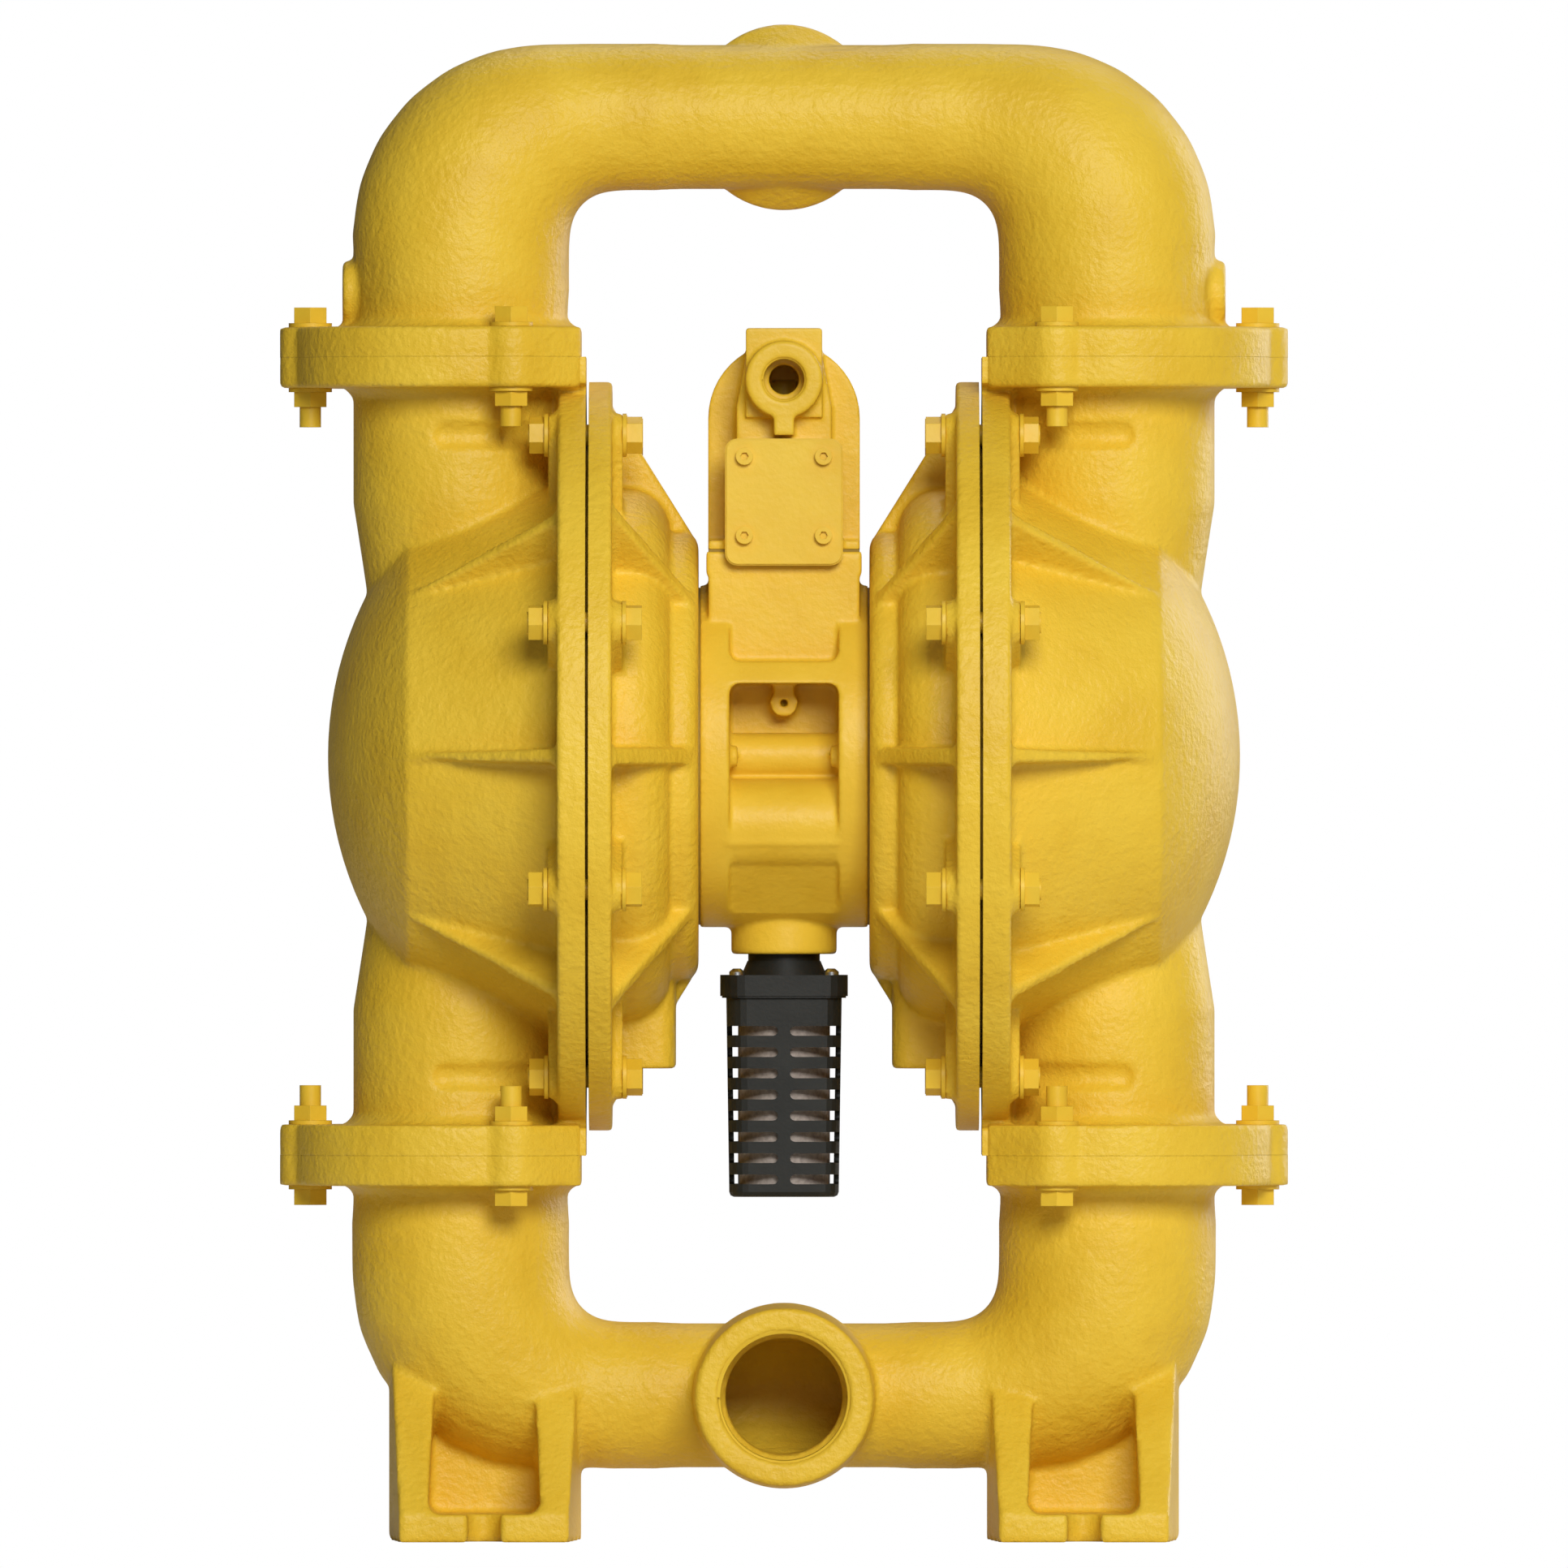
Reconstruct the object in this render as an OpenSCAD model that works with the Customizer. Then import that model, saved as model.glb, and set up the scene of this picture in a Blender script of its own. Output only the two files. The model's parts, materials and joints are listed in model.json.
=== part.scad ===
// Air-operated double-diaphragm pump with cast manifolds and a bolted centre section.
// Millimetres. X runs from the left pumping chamber to the right one, Y to the back, Z up.
// The origin is on the floor, under the middle of the pump.

/* [Layout] */
// Height of the lower manifold tube's axis above the floor
tube_floor_h = 64; // [57:0.5:72]
// Distance from the joint of the chamber to the axis of the manifold tube
tube_above_joint = 106.7; // [104:0.5:115]
// Distance from the middle of the pump to the axis of each manifold leg
leg_x = 143.5; // [142:0.5:146]
// Distance from the chamber's rim to the joint between chamber and manifold
joint_above_rim = 10.8; // [9:0.2:13]

/* [Manifolds] */
// Outer radius of the horizontal manifold tube
tube_r = 32; // [30:0.5:34]
// Outer radius of the vertical manifold legs and ball housings
leg_r = 47.5; // [46:0.5:48.5]
// Wall thickness of the manifold castings
manifold_wall = 6.1; // [5:0.1:7]
// Radius of the inside bend between tube and leg
bend_r = 20; // [16:1:24]
// Distance from the tube axis to the face of the fluid port
port_reach = 75; // [65:1:90]
// Outer radius of the fluid port boss at its face
port_face_r = 39.4; // [37:0.2:42]
// How much the port boss widens towards the tube
port_draft = 1.9; // [0:0.1:3]
// Wall radius of the threaded fluid port
port_thread_r = 29; // [27:0.1:30]
// Length of thread in the fluid port
port_thread_len = 27; // [20:1:32]
// Radius of the round inspection boss on the side of each discharge leg
side_boss_r = 14.2; // [10:0.2:16]
// Height of the side boss above the leg's surface
side_boss_h = 4.8; // [2:0.2:8]

/* [Manifold flanges] */
// Thickness of one manifold flange
flange_t = 13.5; // [11:0.5:15]
// Radius from the leg axis to the flange bolts
flange_bolt_r = 66.6; // [65:0.2:68]
// Angle from the inboard side to the front and rear flange bolts
flange_bolt_angle = 70; // [68:1:72]
// Radius of the rounded ear round each flange bolt
flange_ear_r = 13.5; // [12:0.5:14.5]
// Distance from the leg axis to the flat inboard edge
flange_flat_x = 53.5; // [52:0.5:54]
// Half length of the flat inboard edge
flange_flat_y = 53; // [50:1:55]

/* [Feet] */
// Thickness of the foot plates
foot_t = 12.2; // [10:0.2:15]
// Half depth of the feet, front to back
foot_depth = 85; // [80:1:95]
// Half width of a foot at its middle wall
foot_half_w = 42.6; // [40:0.2:44]
// How much narrower each side of a foot is at its front and back edge
foot_draft = 5; // [2:0.5:6]
// Width of the side ribs of a foot at its front and back edge
foot_rib_w = 12.8; // [10:0.2:15]
// Height of the foot's ribs above the floor
foot_rib_top = 81; // [78:0.5:84]
// Distance from the middle of the pump to the middle of a foot
foot_x = 132.6; // [131:0.2:134]
// Width of an anchor slot
slot_w = 14.4; // [12:0.2:17]
// Depth of an anchor slot from the edge of the foot to its round end's centre
slot_depth = 18; // [12:1:24]

/* [Liquid chambers] */
// Outer radius of the chamber flanges
rim_r = 166; // [164:0.5:168]
// Distance from the middle of the pump to the clamped face of the liquid chamber
liquid_face_x = 87.7; // [87.6:0.1:88]
// Thickness of the liquid chamber's flange
liquid_rim_t = 12.4; // [11:0.2:14]
// Radius of the cone where it leaves the flange
cone_base_r = 126; // [122:0.5:128]
// Radius of the crease between cone and dome
crease_r = 100; // [96:0.5:104]
// Distance from the middle of the pump to the crease
crease_x = 166.7; // [165:0.2:168]
// Distance from the middle of the pump to the tip of the dome
dome_x = 202.3; // [199:0.5:206]
// Wall thickness of the liquid chamber
liquid_wall = 8; // [6:0.5:9]
// Radius where the chamber ribs meet the flange
rib_base_r = 150; // [146:0.5:154]
// Rib thickness at the flange of the liquid chamber
rib_t = 6.5; // [5:0.5:8]
// Rib thickness at the crease
rib_tip_t = 2.4; // [2:0.2:4]
// Height above the axis at which the ball housing reaches its full radius
housing_shoulder = 112; // [108:1:116]
// Radius of the ball housing where it starts inside the dome
housing_root_r = 39.5; // [38:0.5:41]

/* [Air chambers] */
// Distance from the middle of the pump to the clamped face of the air chamber
air_face_x = 86.4; // [86.2:0.1:86.5]
// Thickness of the air chamber's flange
air_rim_t = 10.3; // [9:0.1:12]
// Radius of the air chamber's body where it leaves the flange
air_body_r = 119; // [116:0.5:122]
// Radius of the air chamber's hub
hub_r = 99.4; // [96:0.2:102]
// Distance from the middle of the pump to the hub's outboard shoulder
hub_shoulder_x = 50; // [49:0.5:51]
// Corner radius of the hub
hub_corner_r = 7.2; // [5:0.2:9]
// Rib thickness of the air chamber
air_rib_t = 7.4; // [6:0.2:9]
// Wall thickness of the air chamber's dome
air_wall = 7; // [6:0.5:8]

/* [Chamber bolts] */
// Number of bolts round each chamber
bolt_count = 8; // [8]
// Radius of the chamber bolt circle
bolt_circle_r = 153.7; // [152:0.1:155]
// Radius of a bolt shank
shank_r = 4.75; // [4:0.05:5]
// Width of a bolt head or nut across its flats
head_af = 14.3; // [13:0.1:15]
// Height of a bolt head
head_h = 6.9; // [6:0.1:8]
// Height of a nut
nut_h = 6.6; // [6:0.1:8]
// Radius of a washer
washer_r = 9.6; // [8:0.1:10]
// Thickness of a washer
washer_t = 1.8; // [1:0.1:2.4]
// Radius of the pad under each chamber bolt
pad_r = 9.7; // [9:0.1:10.5]
// Height of the pads on the air chamber
air_pad_h = 4.7; // [3:0.1:6]
// Height of the pads on the liquid chamber
liquid_pad_h = 4.2; // [3:0.1:6]
// Radius at which each pad's lug runs into the chamber's body
pad_inner_r = 114; // [110:1:118]
// How far a shank sticks out past its nut
shank_end = 9; // [2:0.5:12]

/* [Centre block] */
// Half width of the centre block
block_half_w = 37.1; // [36.9:0.1:37.3]
// Radius of the centre block's barrel
barrel_r = 75.8; // [74:0.2:78]
// Half width of the pad that carries the air valve
pad_half_w = 33.5; // [33:0.1:35]
// Half depth of the pad that carries the air valve
pad_half_d = 47.7; // [46:0.1:49]
// Height of the pad's top above the pump axis
pad_top = 90.5; // [89:0.5:92]
// Half width of the window and of the recess above it
window_half_w = 24.1; // [22:0.2:25]
// Height of the window's top above the pump axis
window_top = 32.2; // [30:0.2:34]
// Depth of the window's back wall in front of the pump axis
window_back = 27; // [26:0.5:28]
// Radius of the exhaust boss
exhaust_boss_r = 23.4; // [22:0.2:25]
// Distance of the exhaust boss's end below the pump axis
exhaust_boss_drop = 87.7; // [85:0.1:90]
// Radius of the pilot housing across the window
pilot_housing_r = 10.4; // [10:0.1:11]
// Distance of the pilot valve in front of the pump axis
pilot_y = 37; // [36.5:0.1:38]

/* [Air valve] */
// Half width of the valve's arched body
arch_half_w = 33.6; // [32:0.2:34]
// Height of the arch centre above the pump axis
arch_rise = 150; // [145:0.5:153]
// Half depth of the valve's arched body
arch_half_d = 13; // [11:0.5:15]
// Height of the spool axis above the pump axis
spool_rise = 112.5; // [111:0.5:114]
// Half length of the valve between its two cover faces
valve_half_d = 49; // [48.4:0.1:50]
// Height of the air inlet above the spool axis
inlet_above_spool = 54.3; // [50:0.2:56.5]
// Outer radius of the air inlet boss
inlet_boss_r = 17.1; // [16.5:0.1:18]
// Wall radius of the threaded air inlet
inlet_thread_r = 9.65; // [9:0.05:10.5]
// Length of thread in the air inlet
inlet_thread_len = 16; // [12:1:20]
// Radius of the air passage behind the thread
inlet_bore_r = 6.6; // [5:0.1:7]
// Height of the valve tower above the pump axis
tower_rise = 189.6; // [187:0.2:192]
// Half width of the valve tower
tower_half_w = 16.9; // [16:0.1:18]
// Width of the cover plates
cover_w = 52.2; // [50:0.2:54]
// Height of the cover plates
cover_h = 56.2; // [54:0.2:58]
// Thickness of the cover plates
cover_t = 6; // [4:0.5:8]
// Corner radius of the cover plates
cover_corner_r = 5.4; // [3:0.2:7]
// Spacing of the cover screws
cover_screw_pitch = 35; // [33:0.2:37]
// Radius of a cover screw's head
cover_screw_head_r = 3.85; // [3.5:0.05:4.5]
// Radius of the main spool
spool_r = 9.9; // [9:0.1:11]
// Wall of the spool sleeve
sleeve_wall = 3; // [2:0.1:3.4]
// Travel of the main spool to each side
spool_travel = 6; // [4:0.5:7]

/* [Moving parts] */
// Radius of the diaphragm shaft
shaft_r = 12.7; // [11:0.1:13.5]
// Travel of the diaphragm shaft to each side
shaft_travel = 14; // [10:0.5:14]
// Travel of the pilot spool to each side
pilot_travel = 4; // [3:0.5:4]
// Radius of the pilot spool
pilot_spool_r = 5; // [4.5:0.1:5.5]
// Radius of the pilot pins
pilot_pin_r = 3.2; // [2.8:0.1:3.5]
// Thickness of the diaphragm at its hub
diaphragm_t = 4; // [3:0.5:5]
// Outer radius of the diaphragm
diaphragm_r = 145.6; // [143:0.2:146]
// Outer radius of the inner diaphragm plate
inner_plate_r = 78; // [70:1:82]
// Outer radius of the outer diaphragm plate
outer_plate_r = 72; // [60:1:76]
// Radius of a check ball
ball_r = 31.75; // [31:0.25:32]
// Lift of a check ball
ball_lift = 14; // [10:0.5:16]
// Radius of the contact ring between ball and seat
seat_contact_r = 26; // [24:0.5:27]

/* [Muffler] */
// Half width of the muffler's cap
cap_half_w = 28.3; // [27:0.1:30]
// Half width of the muffler's cage at its top
cage_half_w = 25.6; // [25:0.1:26]
// Half width of the muffler's cage at its bottom
cage_foot_half_w = 24.3; // [24:0.1:25]
// Height of the muffler's cage below its cap
cage_h = 88.2; // [86:0.2:90]
// Height of the muffler's cap
cap_h = 10.1; // [8:0.1:12]
// Wall of the muffler's cage
cage_wall = 2.4; // [2:0.1:3]
// Number of rows of slots
slot_rows = 8; // [6:1:8]
// Distance between rows of slots
slot_pitch = 9.4; // [9:0.1:9.8]
// Height of a muffler slot
vent_h = 4.3; // [3:0.1:5]
// Radius of the muffler's filter element
element_r = 20.4; // [18:0.1:21]

/* [Fits] */
// Radial clearance of running parts
run_gap = 0.05; // [0.02:0.01:0.1]
// Clearance between parts that are only assembled together
seat_gap = 0.1; // [0.05:0.01:0.2]
// Radial clearance of a bolt in its hole
hole_gap = 0.45; // [0.3:0.05:0.6]
// Gap between a check ball and its seat or stop
ball_gap = 0.2; // [0.15:0.05:0.4]

/* [Hidden] */

$fn = 64;
far = 400;
paint = "#e0b845";
steel = "#b9bcbe";
black = "#32332f";
rubber = "#1d1d1d";
bearing = "#d8d6cc";
felt = "#b5a598";

split_rise = rim_r + joint_above_rim;
manifold_rise = split_rise + tube_above_joint;
axis_h = manifold_rise + tube_floor_h;
inlet_rise = spool_rise + inlet_above_spool;
air_pad_x = air_face_x - air_rim_t - air_pad_h;
liquid_pad_x = liquid_face_x + liquid_rim_t + liquid_pad_h;
cover_screw_r = 2;
cover_screw_shift = 2.7;
port_x = 22;
port_y = 27;
air_port_r = 5;
air_port_rise = 30;
pin_bush_r = pilot_pin_r + 2.4;
seat_t = 10;
seat_od_r = leg_r - 3.4;
seat_chamfer = 2.4;
contact_drop = sqrt(ball_r * ball_r - seat_contact_r * seat_contact_r);
seat_bore_r = sqrt(ball_r * ball_r - pow(contact_drop + seat_chamfer, 2));
seal_r = 1.7;
seal_ring_r = seat_od_r + seat_gap / 2 - seal_r;
seat_top = seat_t / 2;
ball_seat_rise = contact_drop + ball_gap;
leg_bore_r = leg_r - manifold_wall;
free_r = diaphragm_r - 8.6;
bead_r = diaphragm_r - 4.3;
bead_minor_r = 2.6;
diaphragm_mid_x = (liquid_face_x + air_face_x) / 2;
inner_plate_t = 8;
outer_plate_t = 9;
plate_face_x = diaphragm_mid_x - diaphragm_t / 2;
inner_plate_x = plate_face_x - inner_plate_t;
plate_stud_r = 7;
pin_reach = inner_plate_x - shaft_travel + pilot_travel - 0.3;
pilot_bore_r = pilot_spool_r + run_gap;
pilot_sleeve_r = pilot_spool_r + 2.4;
pilot_spool_half = block_half_w - pilot_travel - 4;
plate_bolt_af = 22;
plate_bolt_head_h = 8;
plate_bolt_flange_r = 14;
plate_bolt_flange_t = 2;
plate_bolt_depth = 28;
hub_gasket_t = 0.8;
hub_face_x = block_half_w + hub_gasket_t;
hub_screw_r = 3;
hub_screw_circle_r = 62;
valve_gasket_t = 1;
foot_plate_t = 4;
valve_screw_r = 2.4;
valve_screw_head_r = 4.2;
valve_screw_head_h = 5;
valve_screw_hex_r = 2.3;
valve_screw_len = 16;
housing_root_rise = 60;
side_boss_rise = 28.8;
bore_step = 0.9;
ball_cage_r = leg_bore_r - 1.1;
cover_gasket_t = 0.6;
neck_half_w = spool_r + sleeve_wall + 3.1;
muffler_z = axis_h - exhaust_boss_drop;
cap_top_z = muffler_z - 9.3;
cage_top_z = cap_top_z - cap_h;
neck_r = 15.9;
neck_root_r = neck_r + 3;
cap_corner_r = 11;
cap_chamfer = 0.8;
element_bore_r = 11.5;
cap_screw_r = 1.45;
cap_screw_head_r = 3.4;
cap_screw_head_h = 1.4;
cap_screw_inset = 7.4;
cap_screw_depth = 6;

// Points of an arc, from angle a0 to a1.
function arc(cx, cy, r, a0, a1, steps = 6) =
    [for (i = [0 : steps]) let (a = a0 + (a1 - a0) * i / steps) [cx + r * cos(a), cy + r * sin(a)]];

// Outline of a rectangle with round corners, about its middle.
function round_rect(w, h, r, steps = 5) = concat(
    arc(w / 2 - r, h / 2 - r, r, 0, 90, steps),
    arc(r - w / 2, h / 2 - r, r, 90, 180, steps),
    arc(r - w / 2, r - h / 2, r, 180, 270, steps),
    arc(w / 2 - r, r - h / 2, r, 270, 360, steps));

// Closed solid through a list of rings that all have the same number of points.
module loft(rings) {
    count = len(rings[0]);
    last = len(rings) - 1;
    points = [for (ring = rings) for (p = ring) p];
    sides = [for (i = [0 : last - 1]) for (k = [0 : count - 1])
        [i * count + (k + 1) % count, i * count + k, (i + 1) * count + k, (i + 1) * count + (k + 1) % count]];
    first_cap = [for (k = [0 : count - 1]) k];
    last_cap = [for (k = [0 : count - 1]) last * count + count - 1 - k];
    polyhedron(points = points, faces = concat([first_cap], sides, [last_cap]), convexity = 6);
}

// Left parts are drawn as they are, and right parts as their mirror image.
module on_side(side) {
    if (side == "left") children();
    else mirror([1, 0, 0]) children();
}

// Upper parts are drawn as they are, and lower parts as their mirror image about the pump axis.
module on_level(level) {
    translate([0, 0, axis_h])
        if (level == "upper") children();
        else mirror([0, 0, 1]) children();
}

// The chamber's own frame: its Z axis runs outboard along the pump axis, and its X axis up.
module chamber_frame() {
    translate([0, 0, axis_h]) rotate([0, -90, 0]) children();
}

module both_sides() {
    children();
    mirror([1, 0, 0]) children();
}

module hex_head(af, h) {
    cylinder(h = h, r = af / sqrt(3), $fn = 6);
}

// Distance from the bend's centre to its outer curve, in the direction of angle phi.
function bend_reach(phi, outer, shift) =
    let (along = shift * cos(phi) + sqrt(outer * outer - pow(shift * sin(phi), 2)))
    along * cos(phi) >= shift ? along : outer / sin(phi);

// One ring of the bend, whose width runs from the inner curve to the outer one.
function bend_ring(phi, wall, sides) =
    let (inner = bend_r + wall,
         outer = bend_r + 2 * tube_r - wall,
         shift = 2 * (leg_r - tube_r),
         reach = bend_reach(phi, outer, shift),
         mid = (reach + inner) / 2,
         r = (reach - inner) / 2)
    [for (k = [0 : sides - 1]) let (a = 360 * k / sides, d = mid + r * cos(a))
        [-d * cos(phi), -r * sin(a), d * sin(phi)]];

// Ring of the left bend at its place, or of the right one when side is -1.
function bend_place(ring, side, drop) =
    let (x = bend_r + leg_r - leg_x, z = manifold_rise - tube_r - bend_r - drop)
    [for (p = ring) [side * (p[0] + x), p[1], p[2] + z]];

// Pipe from the left leg over both bends and the tube to the right leg, in the upper manifold's frame.
// It starts in each leg at a distance of drop below the bend.
module pipe_run(wall, sides, steps, drop) {
    up = [for (i = [0 : steps]) bend_place(bend_ring(90 * i / steps, wall, sides), 1, 0)];
    down = [for (i = [0 : steps]) bend_place(bend_ring(90 - 90 * i / steps, wall, sides), -1, 0)];
    foot_ring = bend_ring(0, wall, sides);
    loft(concat([bend_place(foot_ring, 1, drop)], up, down, [bend_place(foot_ring, -1, drop)]));
}

// Outline of a manifold flange, seen along the leg, with the inboard side at +X.
function flange_outline() =
    let (a = flange_bolt_angle,
         ear = [flange_bolt_r * cos(a), flange_bolt_r * sin(a)],
         meet = (a + 180) / 2)
    concat(
        [[flange_flat_x, -flange_flat_y], [flange_flat_x, flange_flat_y]],
        arc(ear[0], ear[1], flange_ear_r, 50, meet),
        arc(-flange_bolt_r, 0, flange_ear_r, meet, 360 - meet, 8),
        arc(ear[0], -ear[1], flange_ear_r, 360 - meet, 310));

module at_flange_bolts() {
    for (a = [flange_bolt_angle, 180, -flange_bolt_angle])
        translate([flange_bolt_r * cos(a) - leg_x, flange_bolt_r * sin(a), 0]) children();
}

// Manifold of the upper level: two legs with flanges, two bends and a tube with a port towards +Y.
module manifold_casting(is_suction) {
    bend_top = manifold_rise - tube_r - bend_r;
    chamber_h = bend_top - split_rise;
    difference() {
        union() {
            pipe_run(0, 28, 8, chamber_h - flange_t + 1);
            both_sides() translate([-leg_x, 0, split_rise]) {
                linear_extrude(flange_t) polygon(flange_outline());
                translate([0, 0, flange_t]) cylinder(h = 3, r1 = leg_r + 3.5, r2 = leg_r + 0.3);
                if (!is_suction)
                    translate([0, 0, side_boss_rise]) rotate([0, -90, 0]) {
                        cylinder(h = leg_r + side_boss_h - 1.2, r = side_boss_r);
                        translate([0, 0, leg_r + side_boss_h - 1.2])
                            cylinder(h = 1.2, r1 = side_boss_r, r2 = side_boss_r - 1.4);
                    }
            }
            translate([0, 0, manifold_rise]) rotate([-90, 0, 0]) {
                translate([0, 0, -15]) cylinder(h = 21, r1 = 25, r2 = port_face_r + port_draft);
                translate([0, 0, 6])
                    cylinder(h = port_reach - 7.2, r1 = port_face_r + port_draft, r2 = port_face_r);
                translate([0, 0, port_reach - 1.2])
                    cylinder(h = 1.2, r1 = port_face_r, r2 = port_face_r - 1.2);
            }
            if (is_suction) both_sides() foot();
        }
        both_sides() translate([-leg_x, 0, split_rise]) {
            if (is_suction) {
                translate([0, 0, seat_top + 4]) cylinder(h = chamber_h - seat_top - 4, r = leg_bore_r);
                cylinder(h = seat_top + 6, r = seat_contact_r + 5);
            }
            else cylinder(h = chamber_h, r = leg_bore_r);
            translate([0, 0, -1]) cylinder(h = seat_top + 1, r = seat_od_r + seat_gap);
        }
        both_sides() at_flange_bolts() translate([0, 0, split_rise - 1])
            cylinder(h = flange_t + 2, r = shank_r + hole_gap);
        pipe_run(manifold_wall + bore_step, 18, 5, 1.5);
        translate([0, 0, manifold_rise]) rotate([-90, 0, 0]) {
            translate([0, 0, -4]) cylinder(h = port_reach - 20, r = tube_r - manifold_wall);
            translate([0, 0, port_reach - port_thread_len])
                cylinder(h = port_thread_len + 1, r = port_thread_r);
            translate([0, 0, port_reach - 1.1])
                cylinder(h = 1.2, r1 = port_thread_r, r2 = port_thread_r + 1.1);
        }
    }
}

// Cage that guides and stops a ball: four ribs on a ring, in the left leg, standing on the seat.
module ball_cage(level) {
    base = level == "upper" ? split_rise : -split_rise;
    lifted = ball_seat_rise + ball_lift;
    rib_r = ball_r + 0.6;
    hook_r = 0.7 * rib_r;
    hook_z = lifted + sqrt(2) * rib_r - hook_r;
    top = hook_z + 7;
    translate([-leg_x, 0, axis_h + base + seat_top]) intersection() {
        rotate_extrude() polygon([[rib_r, 0], [ball_cage_r, 0], [ball_cage_r, 42],
            [ball_cage_r - 4.5, top], [hook_r, top], [hook_r, hook_z],
            [rib_r, lifted + (sqrt(2) - 1) * rib_r]]);
        union() {
            cylinder(h = 5, r = ball_cage_r + 1);
            for (a = [45, 135]) rotate([0, 0, a])
                translate([-ball_cage_r - 2, -3, 1]) cube([2 * ball_cage_r + 4, 6, top + 1]);
        }
    }
}

// Foot under the left leg of the suction manifold, drawn in the upper frame, so its plate is on top.
module foot() {
    floor_z = axis_h;
    plate_z = floor_z - foot_t;
    rib_top = axis_h - foot_rib_top;
    edge_w = foot_half_w - foot_draft;
    pocket_w = edge_w - foot_rib_w;
    corner = 3.5;
    wall_half = 5;
    plan = [[-foot_half_w, 0], [-edge_w, -foot_depth], [edge_w, -foot_depth], [foot_half_w, 0],
        [edge_w, foot_depth], [-edge_w, foot_depth]];
    side = [[-foot_depth, floor_z], [-foot_depth, plate_z], [-23, rib_top], [23, rib_top],
        [foot_depth, plate_z], [foot_depth, floor_z]];
    pocket = [[-pocket_w, plate_z - corner], [-pocket_w + corner, plate_z], [pocket_w - corner, plate_z],
        [pocket_w, plate_z - corner], [pocket_w - 3.2, rib_top - 1], [3.2 - pocket_w, rib_top - 1]];
    translate([-foot_x, 0, 0]) difference() {
        intersection() {
            translate([0, 0, rib_top]) linear_extrude(floor_z - rib_top) polygon(plan);
            translate([-foot_half_w - 1, 0, 0]) rotate([90, 0, 90])
                linear_extrude(2 * foot_half_w + 2) polygon(side);
        }
        for (s = [-1, 1]) {
            // pocket between the side ribs, up to the middle wall
            extruded_y(s > 0 ? wall_half : -foot_depth - 1, s > 0 ? foot_depth + 1 : -wall_half, pocket);
            translate([0, s * (foot_depth - slot_depth), plate_z - 5]) {
                cylinder(h = foot_t + 6, r = slot_w / 2);
                translate([-slot_w / 2, s > 0 ? 0 : -slot_depth - 1, 0])
                    cube([slot_w, slot_depth + 1, foot_t + 6]);
            }
        }
    }
}

module liquid_chamber() {
    dome_r = (crease_r * crease_r + pow(dome_x - crease_x, 2)) / (2 * (dome_x - crease_x));
    dome_z = dome_x - dome_r;
    inner_r = dome_r - liquid_wall;
    rim_back = liquid_face_x + liquid_rim_t;
    cone_slope = (cone_base_r - crease_r) / (crease_x - rim_back);
    root = housing_root_rise;
    outside = concat(
        [[0, liquid_face_x], [rim_r, liquid_face_x], [rim_r, rim_back], [cone_base_r, rim_back]],
        arc(0, dome_z, dome_r, 90 - asin(crease_r / dome_r), 90, 14));
    inside = concat(
        [[0, liquid_face_x - 1], [free_r, liquid_face_x - 1], [free_r, liquid_face_x + 5],
            [cone_base_r - liquid_wall + 5 * cone_slope, liquid_face_x + 5]],
        arc(0, dome_z, inner_r, 90 - asin((crease_r - liquid_wall) / inner_r), 90, 12));
    difference() {
        union() {
            chamber_frame() {
                rotate_extrude($fn = 128) polygon(outside);
                for (a = [45, 90, 135, 225, 270, 315]) rotate([0, 0, a]) liquid_rib(rim_back);
                for (i = [0 : bolt_count - 1]) rotate([0, 0, 22.5 + 45 * i]) {
                    translate([bolt_circle_r, 0, rim_back - 0.5]) cylinder(h = liquid_pad_h + 0.5, r = pad_r);
                    translate([pad_inner_r, -pad_r, rim_back - 0.5])
                        cube([bolt_circle_r - pad_inner_r, 2 * pad_r, liquid_pad_h + 0.5]);
                }
            }
            for (level = ["upper", "lower"]) on_level(level) ball_housing();
        }
        chamber_frame() {
            rotate_extrude($fn = 96) polygon(inside);
            translate([0, 0, liquid_face_x]) rotate_extrude($fn = 96)
                translate([bead_r, 0]) circle(r = bead_minor_r + seat_gap, $fn = 24);
            for (i = [0 : bolt_count - 1]) rotate([0, 0, 22.5 + 45 * i])
                translate([bolt_circle_r, 0, liquid_face_x - 1])
                    cylinder(h = liquid_rim_t + liquid_pad_h + 2, r = shank_r + hole_gap);
        }
        for (level = ["upper", "lower"]) on_level(level) {
            translate([-leg_x, 0, root - 2]) cylinder(h = housing_shoulder - root + 2,
                r1 = housing_root_r - manifold_wall, r2 = level == "lower" ? leg_bore_r : leg_bore_r - 8);
            translate([-leg_x, 0, housing_shoulder - 0.1]) cylinder(h = split_rise - housing_shoulder,
                r = level == "lower" ? leg_bore_r : leg_bore_r - 8);
            translate([-leg_x, 0, split_rise - seat_top])
                cylinder(h = seat_top + 1, r = seat_od_r + seat_gap);
            at_flange_bolts() translate([0, 0, split_rise - flange_t - 1])
                cylinder(h = flange_t + 2, r = shank_r + hole_gap);
        }
    }
}

// Rib between the flange and the crease, thinner towards the crease.
module liquid_rib(rim_back) {
    reach = crease_x - rim_back;
    intersection() {
        rotate([90, 0, 0]) linear_extrude(rib_t, center = true)
            polygon([[crease_r - liquid_wall + 2, rim_back - 0.5], [rib_base_r + 0.3, rim_back - 0.5],
                [crease_r, crease_x], [crease_r - liquid_wall + 2, crease_x]]);
        rotate([90, 0, 90]) linear_extrude(far)
            polygon([[-rib_t / 2, rim_back - 1], [rib_t / 2, rim_back - 1],
                [rib_tip_t / 2, rim_back + reach + 1], [-rib_tip_t / 2, rim_back + reach + 1]]);
    }
}

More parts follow.
